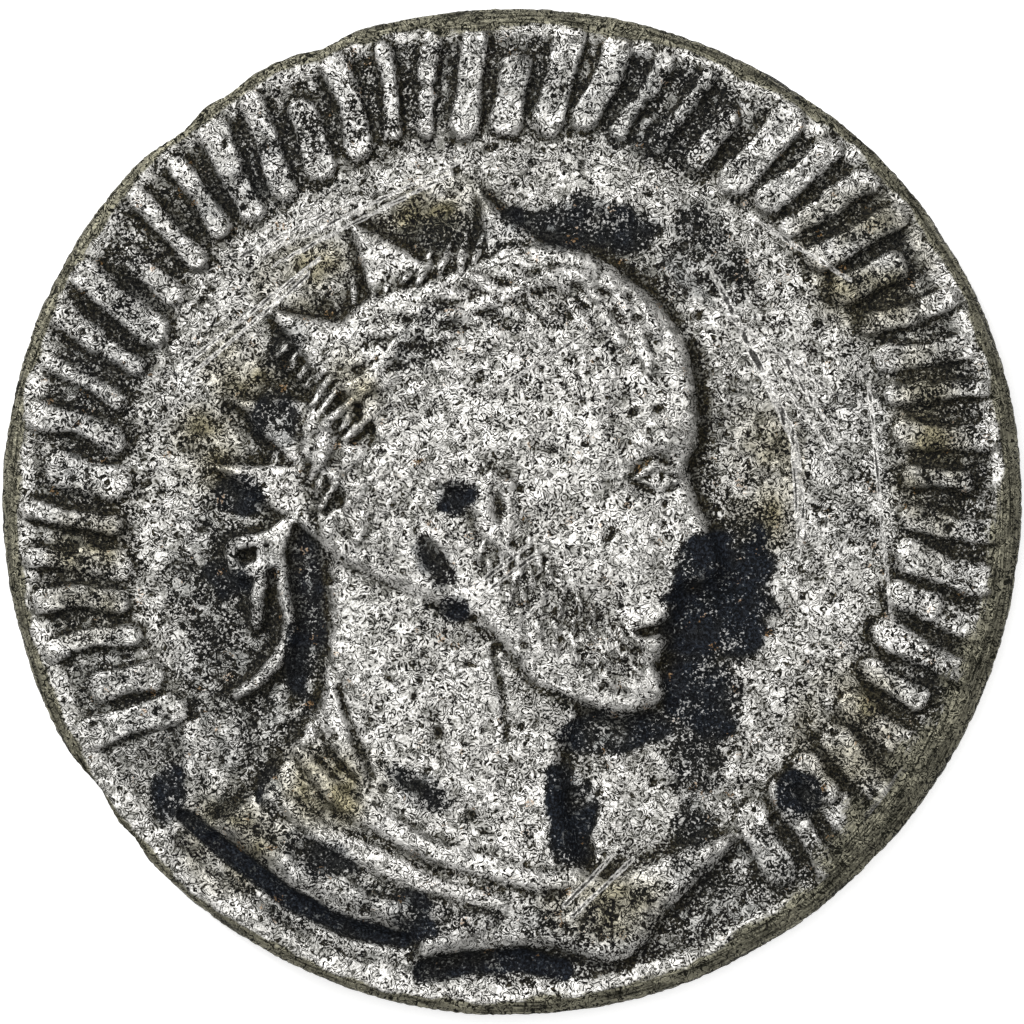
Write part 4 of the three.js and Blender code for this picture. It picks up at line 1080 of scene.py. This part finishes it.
    add(tree, "ShaderNodeOutputMaterial", None, {"Surface": shader.outputs[0]})
    return material


billon = worn_silvered_billon()
surface = coin_skin.modifiers.new("corroded_surface", "NODES")
surface.node_group = corroded_surface_tree()
group_items = surface.node_group.interface.items_tree
sockets = {item.name: item.identifier for item in group_items if item.in_out == "INPUT"}
surface[sockets["Seed"]] = 3.0
surface[sockets["Material"]] = billon
depsgraph = bpy.context.evaluated_depsgraph_get()
corroded = bpy.data.meshes.new_from_object(coin_skin.evaluated_get(depsgraph))
coin_skin.modifiers.remove(surface)
coin_skin.data = corroded

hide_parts("coin")
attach(coin_skin, "root")

# Table and studio
# The coin lies on a plain white table. A broad soft light hangs over it, with a weaker one from the
# upper left, and a long lens looks straight down.
FLOOR_SIZE = 3.0
TABLE_GLOW = 0.45
STUDIO_GLOW = 0.3


def white_table_top():
    """Matt white laminate: it gives back nearly all light, without a gleam. A faint glow of its own
    keeps it pure white beside the coin."""
    material = bpy.data.materials.new("white_table_top")
    material.use_nodes = True
    shader = material.node_tree.nodes["Principled BSDF"]
    shader.inputs["Base Color"].default_value = linear("#F7F7F7")
    shader.inputs["Roughness"].default_value = 0.8
    shader.inputs["Emission Color"].default_value = linear("#FFFFFF")
    shader.inputs["Emission Strength"].default_value = TABLE_GLOW
    return material


floor_mesh = bpy.data.meshes.new("table_top")
half = FLOOR_SIZE / 2.0
corners = [(-half, -half, 0.0), (half, -half, 0.0), (half, half, 0.0), (-half, half, 0.0)]
floor_mesh.from_pydata(corners, [], [(0, 1, 2, 3)])
floor_mesh.materials.append(white_table_top())
floor = bpy.data.objects.new("table_top", floor_mesh)
bpy.context.scene.collection.objects.link(floor)


def soft_light(name, place, size, watts):
    light = bpy.data.lights.new(name, "AREA")
    light.shape = "DISK"
    light.size = size
    light.energy = watts
    lamp = bpy.data.objects.new(name, light)
    lamp.location = place
    lamp.rotation_euler = (-Vector(place)).to_track_quat("-Z", "Y").to_euler()
    lamp.visible_camera = False
    bpy.context.scene.collection.objects.link(lamp)


soft_light("overhead", place=(0.0, 0.02, 0.5), size=0.3, watts=1.1)
soft_light("upper_left", place=(-0.25, 0.28, 0.28), size=0.16, watts=1.5)
world = bpy.data.worlds.new("studio")
world.use_nodes = True
world.node_tree.nodes["Background"].inputs["Color"].default_value = linear("#FFFFFF")
world.node_tree.nodes["Background"].inputs["Strength"].default_value = STUDIO_GLOW
bpy.context.scene.world = world

LENS = 200.0
SENSOR = 36.0
VIEW_WIDTH = 22.19 * MM
WIDEST_HEIGHT = 0.75 * MM
lens = bpy.data.cameras.new("photo_camera")
lens.lens = LENS
lens.sensor_width = SENSOR
lens.clip_start = 0.01
lens.clip_end = 10.0
camera = bpy.data.objects.new("photo_camera", lens)
camera.location = (0.0, 0.0, WIDEST_HEIGHT + VIEW_WIDTH * LENS / SENSOR)
bpy.context.scene.collection.objects.link(camera)
bpy.context.scene.camera = camera
bpy.context.scene.view_settings.view_transform = "Standard"
